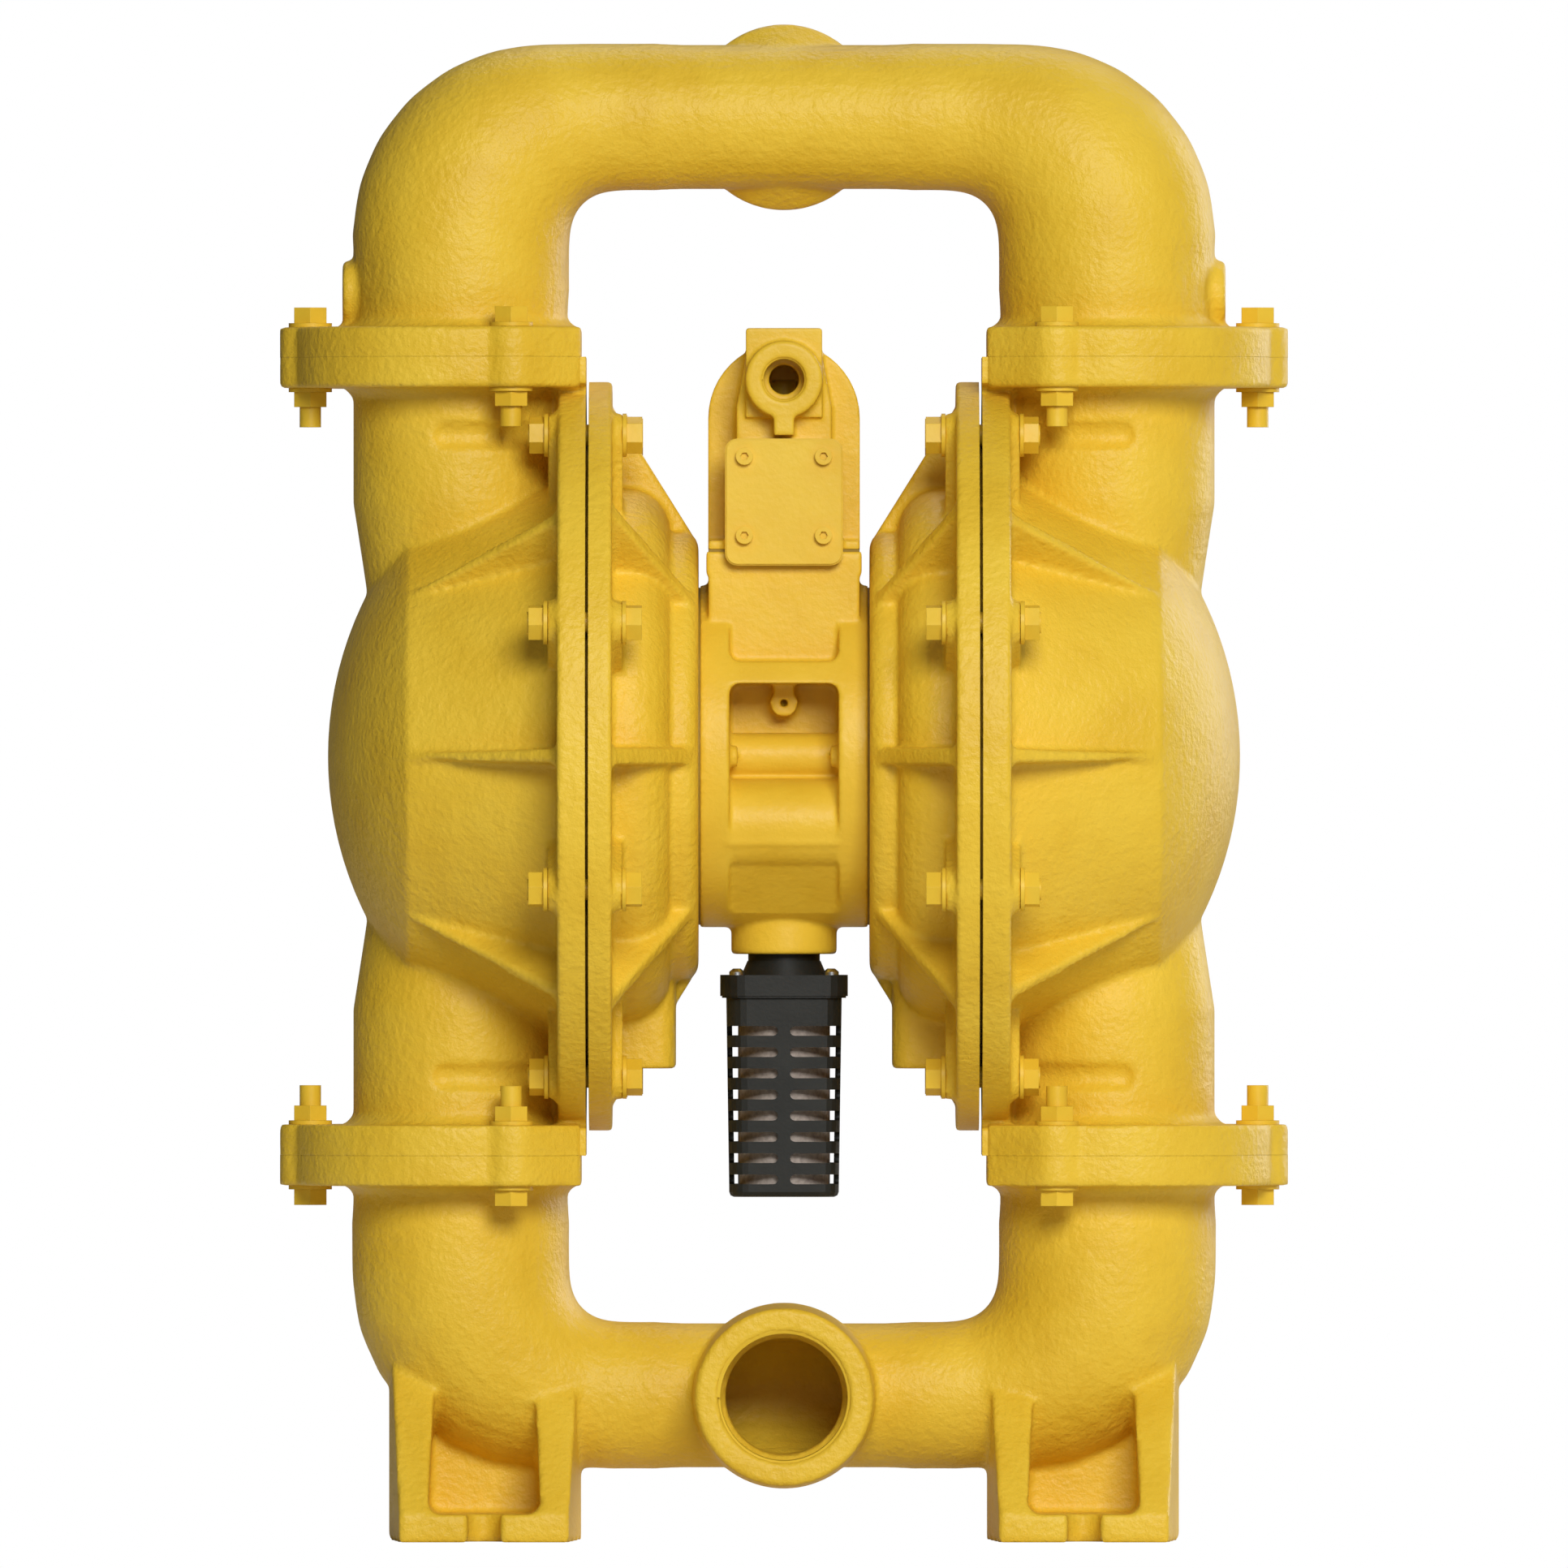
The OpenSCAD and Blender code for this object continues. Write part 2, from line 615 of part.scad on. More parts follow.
// Ball housing above the chamber: cone, straight tube, bridge to the rim and flange.
module ball_housing() {
    root = housing_root_rise;
    bridge_low = 134.8;
    bridge_out = leg_x + 13.5;
    bridge_y = 24;
    translate([-leg_x, 0, 0]) {
        translate([0, 0, root]) cylinder(h = housing_shoulder - root, r1 = housing_root_r, r2 = leg_r);
        translate([0, 0, housing_shoulder]) cylinder(h = split_rise - housing_shoulder - 1, r = leg_r);
        translate([0, 0, split_rise - flange_t]) linear_extrude(flange_t) polygon(flange_outline());
        translate([0, 0, split_rise - flange_t - 4]) cylinder(h = 4, r1 = leg_r + 0.3, r2 = leg_r + 4);
    }
    rotate([90, 0, 0]) linear_extrude(2 * bridge_y, center = true)
        polygon(concat([[-liquid_face_x - 1, bridge_low], [-liquid_face_x - 1, split_rise - flange_t + 1],
            [-bridge_out, split_rise - flange_t + 1]], arc(10 - bridge_out, bridge_low + 10, 10, 180, 270)));
}

module air_chamber() {
    rim_front = air_face_x - air_rim_t;
    profile = concat(
        [[0, hub_face_x]],
        arc(hub_r - hub_corner_r, hub_face_x + hub_corner_r, hub_corner_r, -90, 0, 5),
        arc(hub_r, hub_shoulder_x + 0.5 + air_body_r - hub_r, air_body_r - hub_r, -90, 0, 6),
        [[air_body_r, rim_front], [rim_r, rim_front], [rim_r, air_face_x], [0, air_face_x]]);
    chamber_frame() difference() {
        union() {
            rotate_extrude($fn = 128) polygon(profile);
            for (i = [0 : 7]) rotate([0, 0, 45 * i]) air_rib(rim_front);
            for (i = [0 : bolt_count - 1]) rotate([0, 0, 22.5 + 45 * i]) {
                translate([bolt_circle_r, 0, rim_front - air_pad_h]) cylinder(h = air_pad_h + 0.5, r = pad_r);
                translate([pad_inner_r, -pad_r, rim_front - air_pad_h])
                    cube([bolt_circle_r - pad_inner_r, 2 * pad_r, air_pad_h + 0.5]);
            }
            air_lug(rim_front);
        }
        union() {
            translate([0, 0, air_face_x - 4]) cylinder(h = 5, r = free_r, $fn = 96);
            translate([0, 0, hub_shoulder_x]) cylinder(h = air_face_x - hub_shoulder_x - 3.9,
                r1 = hub_r - air_wall - 4, r2 = air_body_r - air_wall);
            translate([0, 0, air_face_x]) rotate_extrude($fn = 96)
                translate([bead_r, 0]) circle(r = bead_minor_r + seat_gap, $fn = 24);
            for (i = [0 : bolt_count - 1]) rotate([0, 0, 22.5 + 45 * i])
                translate([bolt_circle_r, 0, rim_front - air_pad_h - 1])
                    cylinder(h = air_rim_t + air_pad_h + 2, r = shank_r + hole_gap);
            cylinder(h = far / 4, r = shaft_r + 4);
            translate([0, -pilot_y, 0]) cylinder(h = far / 4, r = pin_bush_r + seat_gap);
            translate([air_port_rise, 0, 0]) cylinder(h = far / 4, r = air_port_r);
            for (i = [0 : 5]) rotate([0, 0, 60 * i + 30])
                translate([hub_screw_circle_r, 0, 0]) cylinder(h = far / 4, r = hub_screw_r + hole_gap);
        }
    }
}

// Straight-edged rib with a rounded nose over the air chamber's hub.
module air_rib(rim_front) {
    nose_r = hub_r - 4;
    rotate([90, 0, 0]) linear_extrude(air_rib_t, center = true)
        polygon([[hub_r - 9, hub_shoulder_x + 9], [hub_r - 9, hub_face_x + 3.1], [nose_r, hub_face_x + 2.3],
            [hub_r - 0.4, hub_face_x + 3.2], [rib_base_r + 5, rim_front], [rib_base_r + 5, rim_front + 1],
            [air_body_r - 6, rim_front + 1]]);
}

// Solid lug under the air chamber, with round inboard edges.
module air_lug(rim_front) {
    lug_low = 138.4;
    lug_half_w = 19;
    lug_x = 47.9;
    translate([-lug_low, 0, 0]) rotate([90, 0, 90]) linear_extrude(lug_low - 88)
        polygon(concat([[lug_half_w, rim_front + 1], [-lug_half_w, rim_front + 1]],
            arc(9 - lug_half_w, lug_x + 9, 9, 180, 270), arc(lug_half_w - 9, lug_x + 9, 9, 270, 360)));
}

module centre_block() {
    chest_z = -30;
    chest_y = 47;
    chest_r = 20;
    color(paint) translate([0, 0, axis_h]) difference() {
        union() {
            difference() {
                union() {
                    translate([-block_half_w, 0, 0]) rotate([0, 90, 0])
                        cylinder(h = 2 * block_half_w, r = barrel_r, $fn = 96);
                    translate([-pad_half_w, -pad_half_d, 0])
                        cube([2 * pad_half_w, 2 * pad_half_d, pad_top - 9.7]);
                    translate([-pad_half_w - 0.9, -pad_half_d, pad_top - 9.7])
                        cube([2 * pad_half_w + 1.8, 2 * pad_half_d, 9.7]);
                    translate([0, 0, -exhaust_boss_drop]) {
                        translate([0, 0, 0.8]) cylinder(h = 40, r = exhaust_boss_r);
                        cylinder(h = 0.8, r1 = exhaust_boss_r - 0.8, r2 = exhaust_boss_r);
                    }
                }
                // flat recess above the window
                recess(-pad_half_d, 41.9, 62, 4.5);
                window_cut();
            }
            // pilot housing, chest and pilot lug in the window
            intersection() {
                translate([-window_half_w - 1, -barrel_r + 6, -70]) cube([2 * window_half_w + 2, 60, 110]);
                union() {
                    across_window(pilot_housing_r, -pilot_y, 0);
                    across_window(chest_r, -chest_y, chest_z);
                    chest(chest_y, chest_z, chest_r);
                    pilot_lug();
                }
            }
            // raised collars of the pilot bore on the window's side walls
            for (s = [-1, 1]) translate([s * (window_half_w - 1.2), -pilot_y - pilot_housing_r - 6, 0])
                rotate([0, 90, 0]) cylinder(h = 4.8, r = 4.7, center = true);
        }
        rotate([0, 90, 0]) translate([0, 0, -far / 2]) cylinder(h = far, r = shaft_r + 4);
        translate([0, -pilot_y, 0]) rotate([0, 90, 0]) translate([0, 0, -far / 2])
            cylinder(h = far, r = pilot_sleeve_r + seat_gap);
        translate([0, 0, -exhaust_boss_drop - 1]) cylinder(h = 17, r = neck_r + seat_gap);
        translate([0, 0, -exhaust_boss_drop]) cylinder(h = 38, r = 12);
        // exhaust passage behind the shaft
        translate([0, port_y, -52]) cylinder(h = far / 2, r = air_port_r);
        translate([0, port_y, -54]) rotate([90, 0, 0]) cylinder(h = port_y, r = air_port_r);
        // air passages from the valve to the two air chambers
        for (s = [-1, 1]) translate([s * port_x, 0, air_port_rise]) {
            cylinder(h = far / 4, r = air_port_r);
            rotate([0, s * 90, 0]) cylinder(h = far / 4, r = air_port_r);
        }
        for (x = [-1, 1]) for (y = [-1, 1])
            translate([x * port_x, y * port_y, pad_top - valve_screw_len + 2])
                cylinder(h = valve_screw_len - 1, r = valve_screw_r + seat_gap);
        for (i = [0 : 5]) rotate([60 * i + 30, 0, 0]) translate([0, 0, hub_screw_circle_r]) rotate([0, 90, 0])
            for (s = [-1, 1]) translate([0, 0, s * (block_half_w - 4)])
                cylinder(h = 10, r = hub_screw_r + seat_gap, center = true);
    }
}

module across_window(r, y, z) {
    translate([-window_half_w - 1, y, z]) rotate([0, 90, 0]) cylinder(h = 2 * window_half_w + 2, r = r);
}

// Front opening with round corners, cut from the barrel down to a back wall.
module window_cut() {
    low = -70.2;
    translate([0, -window_back, (window_top + low) / 2]) rotate([90, 0, 0])
        linear_extrude(far / 4) polygon(round_rect(2 * window_half_w, window_top - low, 4.4));
}

// Recess that carries the pad's flat front face down into the barrel.
module recess(y, low, high, r) {
    translate([0, y, (low + high) / 2]) rotate([90, 0, 0])
        linear_extrude(far / 4) polygon(round_rect(2 * window_half_w, high - low, r));
}

// Block below the pilot housing, with a rounded top and a sloping lower face.
module chest(y, z, r) {
    translate([-window_half_w - 1, 0, 0]) rotate([90, 0, 90]) linear_extrude(2 * window_half_w + 2)
        polygon([[-20, -70], [-29.5, -70], [-y - r + 1.2, z - 9], [-y - r + 0.3, z], [-y, z + 1],
            [-y, z + r - 0.1], [-20, z + r - 0.1]]);
}

module pilot_lug() {
    lug_z = 23.6;
    lug_y = window_back + 14;
    translate([0, -lug_y, lug_z]) rotate([-90, 0, 0]) difference() {
        union() {
            cylinder(h = 20, r = 6.1);
            translate([-4.6, -15, 0]) cube([9.2, 15, 20]);
        }
        translate([0, 0, -1]) cylinder(h = 10, r = 1.8);
    }
}

module hub_gaskets() {
    color(rubber) both_sides() chamber_frame() translate([0, 0, block_half_w]) difference() {
        cylinder(h = hub_gasket_t, r = barrel_r - 1);
        translate([0, 0, -1]) {
            cylinder(h = 3, r = shaft_r + 5);
            translate([0, -pilot_y, 0]) cylinder(h = 3, r = pilot_sleeve_r + 1);
            translate([air_port_rise, 0, 0]) cylinder(h = 3, r = air_port_r + 0.5);
            for (i = [0 : 5]) rotate([0, 0, 60 * i + 30])
                translate([hub_screw_circle_r, 0, 0]) cylinder(h = 3, r = hub_screw_r + 1);
        }
    }
}

module hub_screws() {
    color(steel) both_sides() chamber_frame() for (i = [0 : 5]) rotate([0, 0, 60 * i + 30])
        translate([hub_screw_circle_r, 0, block_half_w - 8]) {
            cylinder(h = hub_shoulder_x - block_half_w + 8, r = hub_screw_r);
            translate([0, 0, hub_shoulder_x - block_half_w + 8]) socket_head(5, 5, 2.5);
        }
}

module socket_head(r, h, hex_r) {
    difference() {
        cylinder(h = h, r = r);
        translate([0, 0, h * 0.45]) cylinder(h = h, r = hex_r, $fn = 6);
    }
}

// Moulded diaphragm: clamped rim with a bead, a convolution and a flat hub.
module diaphragm() {
    half_rim = (liquid_face_x - air_face_x) / 2;
    half = diaphragm_t / 2;
    crest_r = (free_r + inner_plate_r) / 2;
    chamber_frame() translate([0, 0, diaphragm_mid_x]) rotate_extrude($fn = 96) {
        polygon([[plate_stud_r + seat_gap, -half], [inner_plate_r + 1, -half], [crest_r, 4.2],
            [free_r - 1, -half_rim], [diaphragm_r, -half_rim], [diaphragm_r, half_rim],
            [free_r - 1, half_rim],
            [crest_r + 0.4, 7.6], [inner_plate_r + 1, half], [plate_stud_r + seat_gap, half]]);
        translate([bead_r, 0]) circle(r = bead_minor_r, $fn = 24);
    }
}

module diaphragm_shaft() {
    color(steel) translate([0, 0, axis_h]) rotate([0, 90, 0]) difference() {
        cylinder(h = 2 * inner_plate_x, r = shaft_r, center = true);
        for (s = [-1, 1]) translate([0, 0, s * inner_plate_x])
            cylinder(h = 60, r = plate_stud_r + seat_gap, center = true);
    }
}

module inner_plate() {
    chamber_frame() translate([0, 0, inner_plate_x]) difference() {
        union() {
            translate([0, 0, inner_plate_t - 5]) cylinder(h = 5, r = inner_plate_r);
            cylinder(h = inner_plate_t, r = 46);
            translate([0, 0, inner_plate_t - 8]) cylinder(h = 3, r1 = 46, r2 = 62);
        }
        translate([0, 0, -1]) cylinder(h = inner_plate_t + 2, r = plate_stud_r + seat_gap);
    }
}

module outer_plate() {
    outer_x = diaphragm_mid_x + diaphragm_t / 2;
    chamber_frame() translate([0, 0, outer_x]) difference() {
        union() {
            cylinder(h = 4, r = outer_plate_r);
            translate([0, 0, 4]) cylinder(h = outer_plate_t - 4, r1 = outer_plate_r - 4, r2 = 24);
        }
        translate([0, 0, -1]) cylinder(h = outer_plate_t + 2, r = plate_stud_r + seat_gap);
    }
}

module plate_bolt() {
    outer_x = diaphragm_mid_x + diaphragm_t / 2 + outer_plate_t;
    chamber_frame() {
        translate([0, 0, inner_plate_x - plate_bolt_depth])
            cylinder(h = outer_x - inner_plate_x + plate_bolt_depth, r = plate_stud_r);
        translate([0, 0, outer_x]) cylinder(h = plate_bolt_flange_t, r = plate_bolt_flange_r);
        translate([0, 0, outer_x + plate_bolt_flange_t]) hex_head(plate_bolt_af, plate_bolt_head_h);
    }
}

module shaft_bushes() {
    color(bearing) both_sides() chamber_frame() translate([0, 0, hub_face_x + 2]) difference() {
        cylinder(h = hub_shoulder_x - hub_face_x - 3, r = shaft_r + 4 - seat_gap);
        translate([0, 0, -1]) cylinder(h = 20, r = shaft_r + run_gap);
    }
}

module shaft_seals() {
    color(rubber) both_sides() chamber_frame() translate([0, 0, block_half_w - 6]) difference() {
        cylinder(h = 6, r = shaft_r + 4 - seat_gap);
        translate([0, 0, -1]) cylinder(h = 8, r = shaft_r + 0.3);
    }
}

module pilot_axis() {
    translate([0, -pilot_y, axis_h]) rotate([0, 90, 0]) children();
}

module pilot_sleeve() {
    color(steel) pilot_axis() difference() {
        cylinder(h = 2 * block_half_w - 0.4, r = pilot_sleeve_r, center = true);
        cylinder(h = 2 * block_half_w + 2, r = pilot_bore_r, center = true);
    }
}

module pilot_spool() {
    groove_r = pilot_spool_r - 1.8;
    color(steel) pilot_axis() difference() {
        cylinder(h = 2 * pilot_spool_half, r = pilot_spool_r, center = true);
        for (s = [-1, 1]) translate([0, 0, s * 13]) difference() {
            cylinder(h = 8, r = pilot_spool_r + 1, center = true);
            cylinder(h = 9, r = groove_r, center = true);
        }
    }
}

module pilot_pins() {
    color(steel) pilot_axis() for (s = [-1, 1]) translate([0, 0, s * (pilot_spool_half + pin_reach) / 2])
        cylinder(h = pin_reach - pilot_spool_half, r = pilot_pin_r, center = true);
}

module pilot_pin_bushes() {
    color(bearing) both_sides() chamber_frame() translate([0, -pilot_y, hub_face_x + 1]) difference() {
        cylinder(h = hub_shoulder_x - hub_face_x - 1, r = pin_bush_r);
        translate([0, 0, -1]) cylinder(h = 20, r = pilot_pin_r + run_gap);
    }
}

module check_ball(level) {
    base = level == "upper" ? split_rise + seat_top : -split_rise + seat_top;
    translate([-leg_x, 0, axis_h + base + ball_seat_rise]) sphere(r = ball_r, $fn = 96);
}

module valve_seat(level) {
    base = level == "upper" ? split_rise : -split_rise;
    translate([-leg_x, 0, axis_h + base]) difference() {
        translate([0, 0, -seat_top]) cylinder(h = seat_t, r = seat_od_r);
        translate([0, 0, -seat_top - 1]) cylinder(h = seat_t + 2, r = seat_bore_r);
        translate([0, 0, seat_top - seat_chamfer])
            cylinder(h = seat_chamfer + 0.01, r1 = seat_bore_r, r2 = seat_contact_r);
        rotate_extrude() translate([seal_ring_r, 0]) circle(r = seal_r + seat_gap, $fn = 24);
    }
}

module seat_seals() {
    color(rubber) for (s = [-1, 1]) for (x = [-1, 1]) translate([x * leg_x, 0, axis_h + s * split_rise])
        rotate_extrude() translate([seal_ring_r, 0]) circle(r = seal_r, $fn = 24);
}

// Calls its children at each chamber bolt of both chambers, with Z running outboard.
module at_chamber_bolts() {
    both_sides() chamber_frame() for (i = [0 : bolt_count - 1])
        rotate([0, 0, 22.5 + 45 * i]) translate([bolt_circle_r, 0, 0]) children();
}

module chamber_bolts() {
    color(paint) at_chamber_bolts() {
        translate([0, 0, air_pad_x - washer_t - head_h]) rotate([0, 0, 30]) hex_head(head_af, head_h);
        translate([0, 0, air_pad_x - washer_t - 1])
            cylinder(h = liquid_pad_x - air_pad_x + 2 * washer_t + nut_h + 1.6, r = shank_r);
    }
}

module ring(h, r, bore) {
    difference() {
        cylinder(h = h, r = r);
        translate([0, 0, -1]) cylinder(h = h + 2, r = bore);
    }
}

module hex_nut(h) {
    difference() {
        hex_head(head_af, h);
        translate([0, 0, -1]) cylinder(h = h + 2, r = shank_r + seat_gap / 2);
    }
}

module chamber_nuts() {
    color(paint) at_chamber_bolts() translate([0, 0, liquid_pad_x + washer_t])
        rotate([0, 0, 30]) hex_nut(nut_h);
}

module chamber_washers() {
    color(paint) at_chamber_bolts() {
        translate([0, 0, air_pad_x - washer_t]) ring(washer_t, washer_r, shank_r + seat_gap);
        translate([0, 0, liquid_pad_x]) ring(washer_t, washer_r, shank_r + seat_gap);
    }
}

// Calls its children at each manifold flange bolt, at the joint, with Z running away from the axis.
module at_manifold_bolts() {
    for (level = ["upper", "lower"]) on_level(level) both_sides()
        at_flange_bolts() translate([0, 0, split_rise]) children();
}

module flange_bolts() {
    color(paint) at_manifold_bolts() {
        translate([0, 0, flange_t + washer_t]) rotate([0, 0, 30]) hex_head(head_af, head_h);
        translate([0, 0, -flange_t - washer_t - nut_h - shank_end])
            cylinder(h = 2 * flange_t + 2 * washer_t + nut_h + shank_end + 1, r = shank_r);
    }
}

module flange_nuts() {
    color(paint) at_manifold_bolts() translate([0, 0, -flange_t - washer_t - nut_h])
        rotate([0, 0, 30]) hex_nut(nut_h);
}

module flange_washers() {
    color(paint) at_manifold_bolts() for (z = [flange_t, -flange_t - washer_t])
        translate([0, 0, z]) ring(washer_t, washer_r, shank_r + seat_gap);
}

// Arched body with a neck to each cover, and a tower with the air inlet in front.
module air_valve_body() {
    base = pad_top + valve_gasket_t;
    cover_low = base;
    corner_x = cover_w / 2 - cover_corner_r;
    cover_top = spool_rise + cover_h / 2;
    boss_y = valve_half_d + cover_t;
    color(paint) translate([0, 0, axis_h]) difference() {
        union() {
            translate([-pad_half_w, -pad_half_d + 1, base])
                cube([2 * pad_half_w, 2 * pad_half_d - 2, foot_plate_t]);
            extruded_y(-arch_half_d, arch_half_d, concat([[-arch_half_w, base], [arch_half_w, base]],
                arc(0, arch_rise, arch_half_w, 0, 180, 24)));
            translate([-neck_half_w, -valve_half_d + 4, base])
                cube([2 * neck_half_w, 2 * valve_half_d - 8, cover_top - base - 1]);
            for (s = [-1, 1])
                extruded_y(s > 0 ? valve_half_d - 8 : -valve_half_d, s > 0 ? valve_half_d : -valve_half_d + 8,
                    concat([[-cover_w / 2, cover_low], [cover_w / 2, cover_low]],
                        arc(corner_x, cover_top - cover_corner_r, cover_corner_r, 0, 90),
                        arc(-corner_x, cover_top - cover_corner_r, cover_corner_r, 90, 180)));
            extruded_y(-38, 0, [[-21, cover_top - 6], [21, cover_top - 6], [21, arch_rise + 5],
                [tower_half_w, arch_rise + 27], [-tower_half_w, arch_rise + 27], [-21, arch_rise + 5]]);
            extruded_y(-41, 8, concat([[-tower_half_w, arch_rise], [tower_half_w, arch_rise]],
                arc(tower_half_w - 1, tower_rise - 1, 1, 0, 90, 2),
                arc(1 - tower_half_w, tower_rise - 1, 1, 90, 180, 2)));
            extruded_y(-boss_y, -38, [[-4.5, cover_top + 1.5], [4.5, cover_top + 1.5], [4.5, inlet_rise - 8],
                [-4.5, inlet_rise - 8]]);
            translate([0, 0, inlet_rise]) rotate([90, 0, 0]) {
                translate([0, 0, boss_y - 1]) cylinder(h = 1, r1 = inlet_boss_r, r2 = inlet_boss_r - 0.9);
                cylinder(h = boss_y - 1, r = inlet_boss_r);
            }
        }
        translate([0, 0, inlet_rise]) rotate([90, 0, 0]) {
            cylinder(h = far / 4, r = inlet_bore_r);
            translate([0, 0, boss_y - inlet_thread_len])
                cylinder(h = inlet_thread_len + 1, r = inlet_thread_r);
        }
        translate([0, 0, spool_rise]) rotate([90, 0, 0])
            cylinder(h = far, r = spool_r + run_gap + sleeve_wall + seat_gap, center = true);
        translate([0, 0, spool_rise]) cylinder(h = inlet_rise - spool_rise, r = inlet_bore_r - 1);
        translate([0, port_y, base - 1]) cylinder(h = spool_rise - base, r = air_port_r);
        for (s = [-1, 1]) translate([s * port_x, 0, 0]) {
            translate([0, 0, base - 1]) cylinder(h = spool_rise - base, r = air_port_r);
            translate([0, 0, spool_rise]) rotate([0, 90, s > 0 ? 158 : -22])
                cylinder(h = port_x, r = air_port_r - 1);
        }
        for (x = [-1, 1]) for (y = [-1, 1])
            translate([x * port_x, y * port_y, base - 1]) cylinder(h = 8, r = valve_screw_r + hole_gap);
        at_cover_screws() cylinder(h = 14, r = cover_screw_r, center = true);
    }
}

// Solid between two depths, from an outline seen from the front.
module extruded_y(y0, y1, points) {
    translate([0, y1, 0]) rotate([90, 0, 0]) linear_extrude(y1 - y0) polygon(points);
}

// The eight cover screw places, relative to the pump axis, with Z running out of the valve.
module at_cover_screws() {
    half = cover_screw_pitch / 2;
    for (s = [-1, 1]) for (x = [-1, 1]) for (z = [-1, 1])
        translate([x * half, s * valve_half_d, spool_rise + cover_screw_shift + z * half])
            rotate([s > 0 ? -90 : 90, 0, 0]) children();
}

module air_valve_gasket() {
    color(rubber) translate([0, 0, axis_h + pad_top]) difference() {
        translate([-pad_half_w, -pad_half_d + 1, 0])
            cube([2 * pad_half_w, 2 * pad_half_d - 2, valve_gasket_t]);
        translate([0, port_y, -1]) cylinder(h = 3, r = air_port_r + 0.5);
        for (x = [-1, 1]) translate([x * port_x, 0, -1]) cylinder(h = 3, r = air_port_r + 0.5);
        for (x = [-1, 1]) for (y = [-1, 1])
            translate([x * port_x, y * port_y, -1]) cylinder(h = 3, r = valve_screw_r + 0.6);
    }
}

module air_valve_screws() {
    seat_z = axis_h + pad_top + valve_gasket_t + foot_plate_t;
    color(paint) for (x = [-1, 1]) for (y = [-1, 1]) translate([x * port_x, y * port_y, seat_z]) {
        socket_head(valve_screw_head_r, valve_screw_head_h, valve_screw_hex_r);
        translate([0, 0, -valve_screw_len]) cylinder(h = valve_screw_len, r = valve_screw_r);
    }
}

module spool_axis() {
    translate([0, 0, axis_h + spool_rise]) rotate([90, 0, 0]) children();
}

module spool_sleeve() {
    outer = spool_r + run_gap + sleeve_wall;
    color(steel) spool_axis() difference() {
        cylinder(h = 2 * valve_half_d - 0.4, r = outer, center = true);
        cylinder(h = 2 * valve_half_d + 2, r = spool_r + run_gap, center = true);
        for (z = [-22, -13.5, 0, 13.5, 22]) translate([0, 0, z]) for (a = [0, 90]) rotate([90, 0, a])
            cylinder(h = 4 * outer, r = 3.2, center = true);
    }
}

module main_spool() {
    half = valve_half_d - spool_travel - 1;
    color(bearing) spool_axis() {
        cylinder(h = 2 * half - 2, r = spool_r - 3.4, center = true);
        for (s = [-1, 1]) {
            translate([0, 0, s * (half - 5)]) cylinder(h = 10, r = spool_r, center = true);
            translate([0, 0, s * 13.5]) cylinder(h = 7, r = spool_r, center = true);
        }
    }
}

module valve_cover() {
    inner_y = valve_half_d + cover_gasket_t;
    outline = round_rect(cover_w, cover_h, cover_corner_r);
    translate([0, -inner_y, axis_h + spool_rise]) difference() {
        union() {
            rotate([90, 0, 0]) linear_extrude(cover_t - 0.7) polygon(outline);
            translate([0, -cover_t + 0.7, 0]) rotate([90, 0, 0]) linear_extrude(0.7)
                polygon(round_rect(cover_w - 1.2, cover_h - 1.2, cover_corner_r - 0.6));
        }
        for (x = [-1, 1]) for (z = [-1, 1])
            translate([x * cover_screw_pitch / 2, 1, cover_screw_shift + z * cover_screw_pitch / 2])
                rotate([90, 0, 0]) cylinder(h = cover_t + 2, r = cover_screw_r + 0.3);
    }
}

module valve_cover_gaskets() {
    half_w = cover_w / 2 - 0.6;
    low = pad_top + 2;
    high = spool_rise + cover_h / 2 - 0.6;
    color(rubber) for (m = [0, 1]) mirror([0, m, 0]) translate([0, 0, axis_h]) difference() {
        extruded_y(-valve_half_d - cover_gasket_t, -valve_half_d, concat([[-half_w, low], [half_w, low]],
            arc(half_w - cover_corner_r, high - cover_corner_r, cover_corner_r, 0, 90),
            arc(cover_corner_r - half_w, high - cover_corner_r, cover_corner_r, 90, 180)));
        translate([0, 0, spool_rise]) rotate([90, 0, 0]) cylinder(h = far / 4, r = spool_r + 1);
        at_cover_screws() cylinder(h = 5, r = cover_screw_r + 0.5, center = true);
    }
}

module valve_cover_screws() {
    color(paint) translate([0, 0, axis_h]) at_cover_screws() {
        translate([0, 0, cover_gasket_t + cover_t]) socket_head(cover_screw_head_r, 3.2, 1.8);
        translate([0, 0, -6.5]) cylinder(h = cover_gasket_t + cover_t + 6.5, r = cover_screw_r - 0.1);
    }
}

// Square ring of the muffler at height z, with round corners.
function muffler_ring(half, corner, z) = [for (p = round_rect(2 * half, 2 * half, corner)) [p[0], p[1], z]];

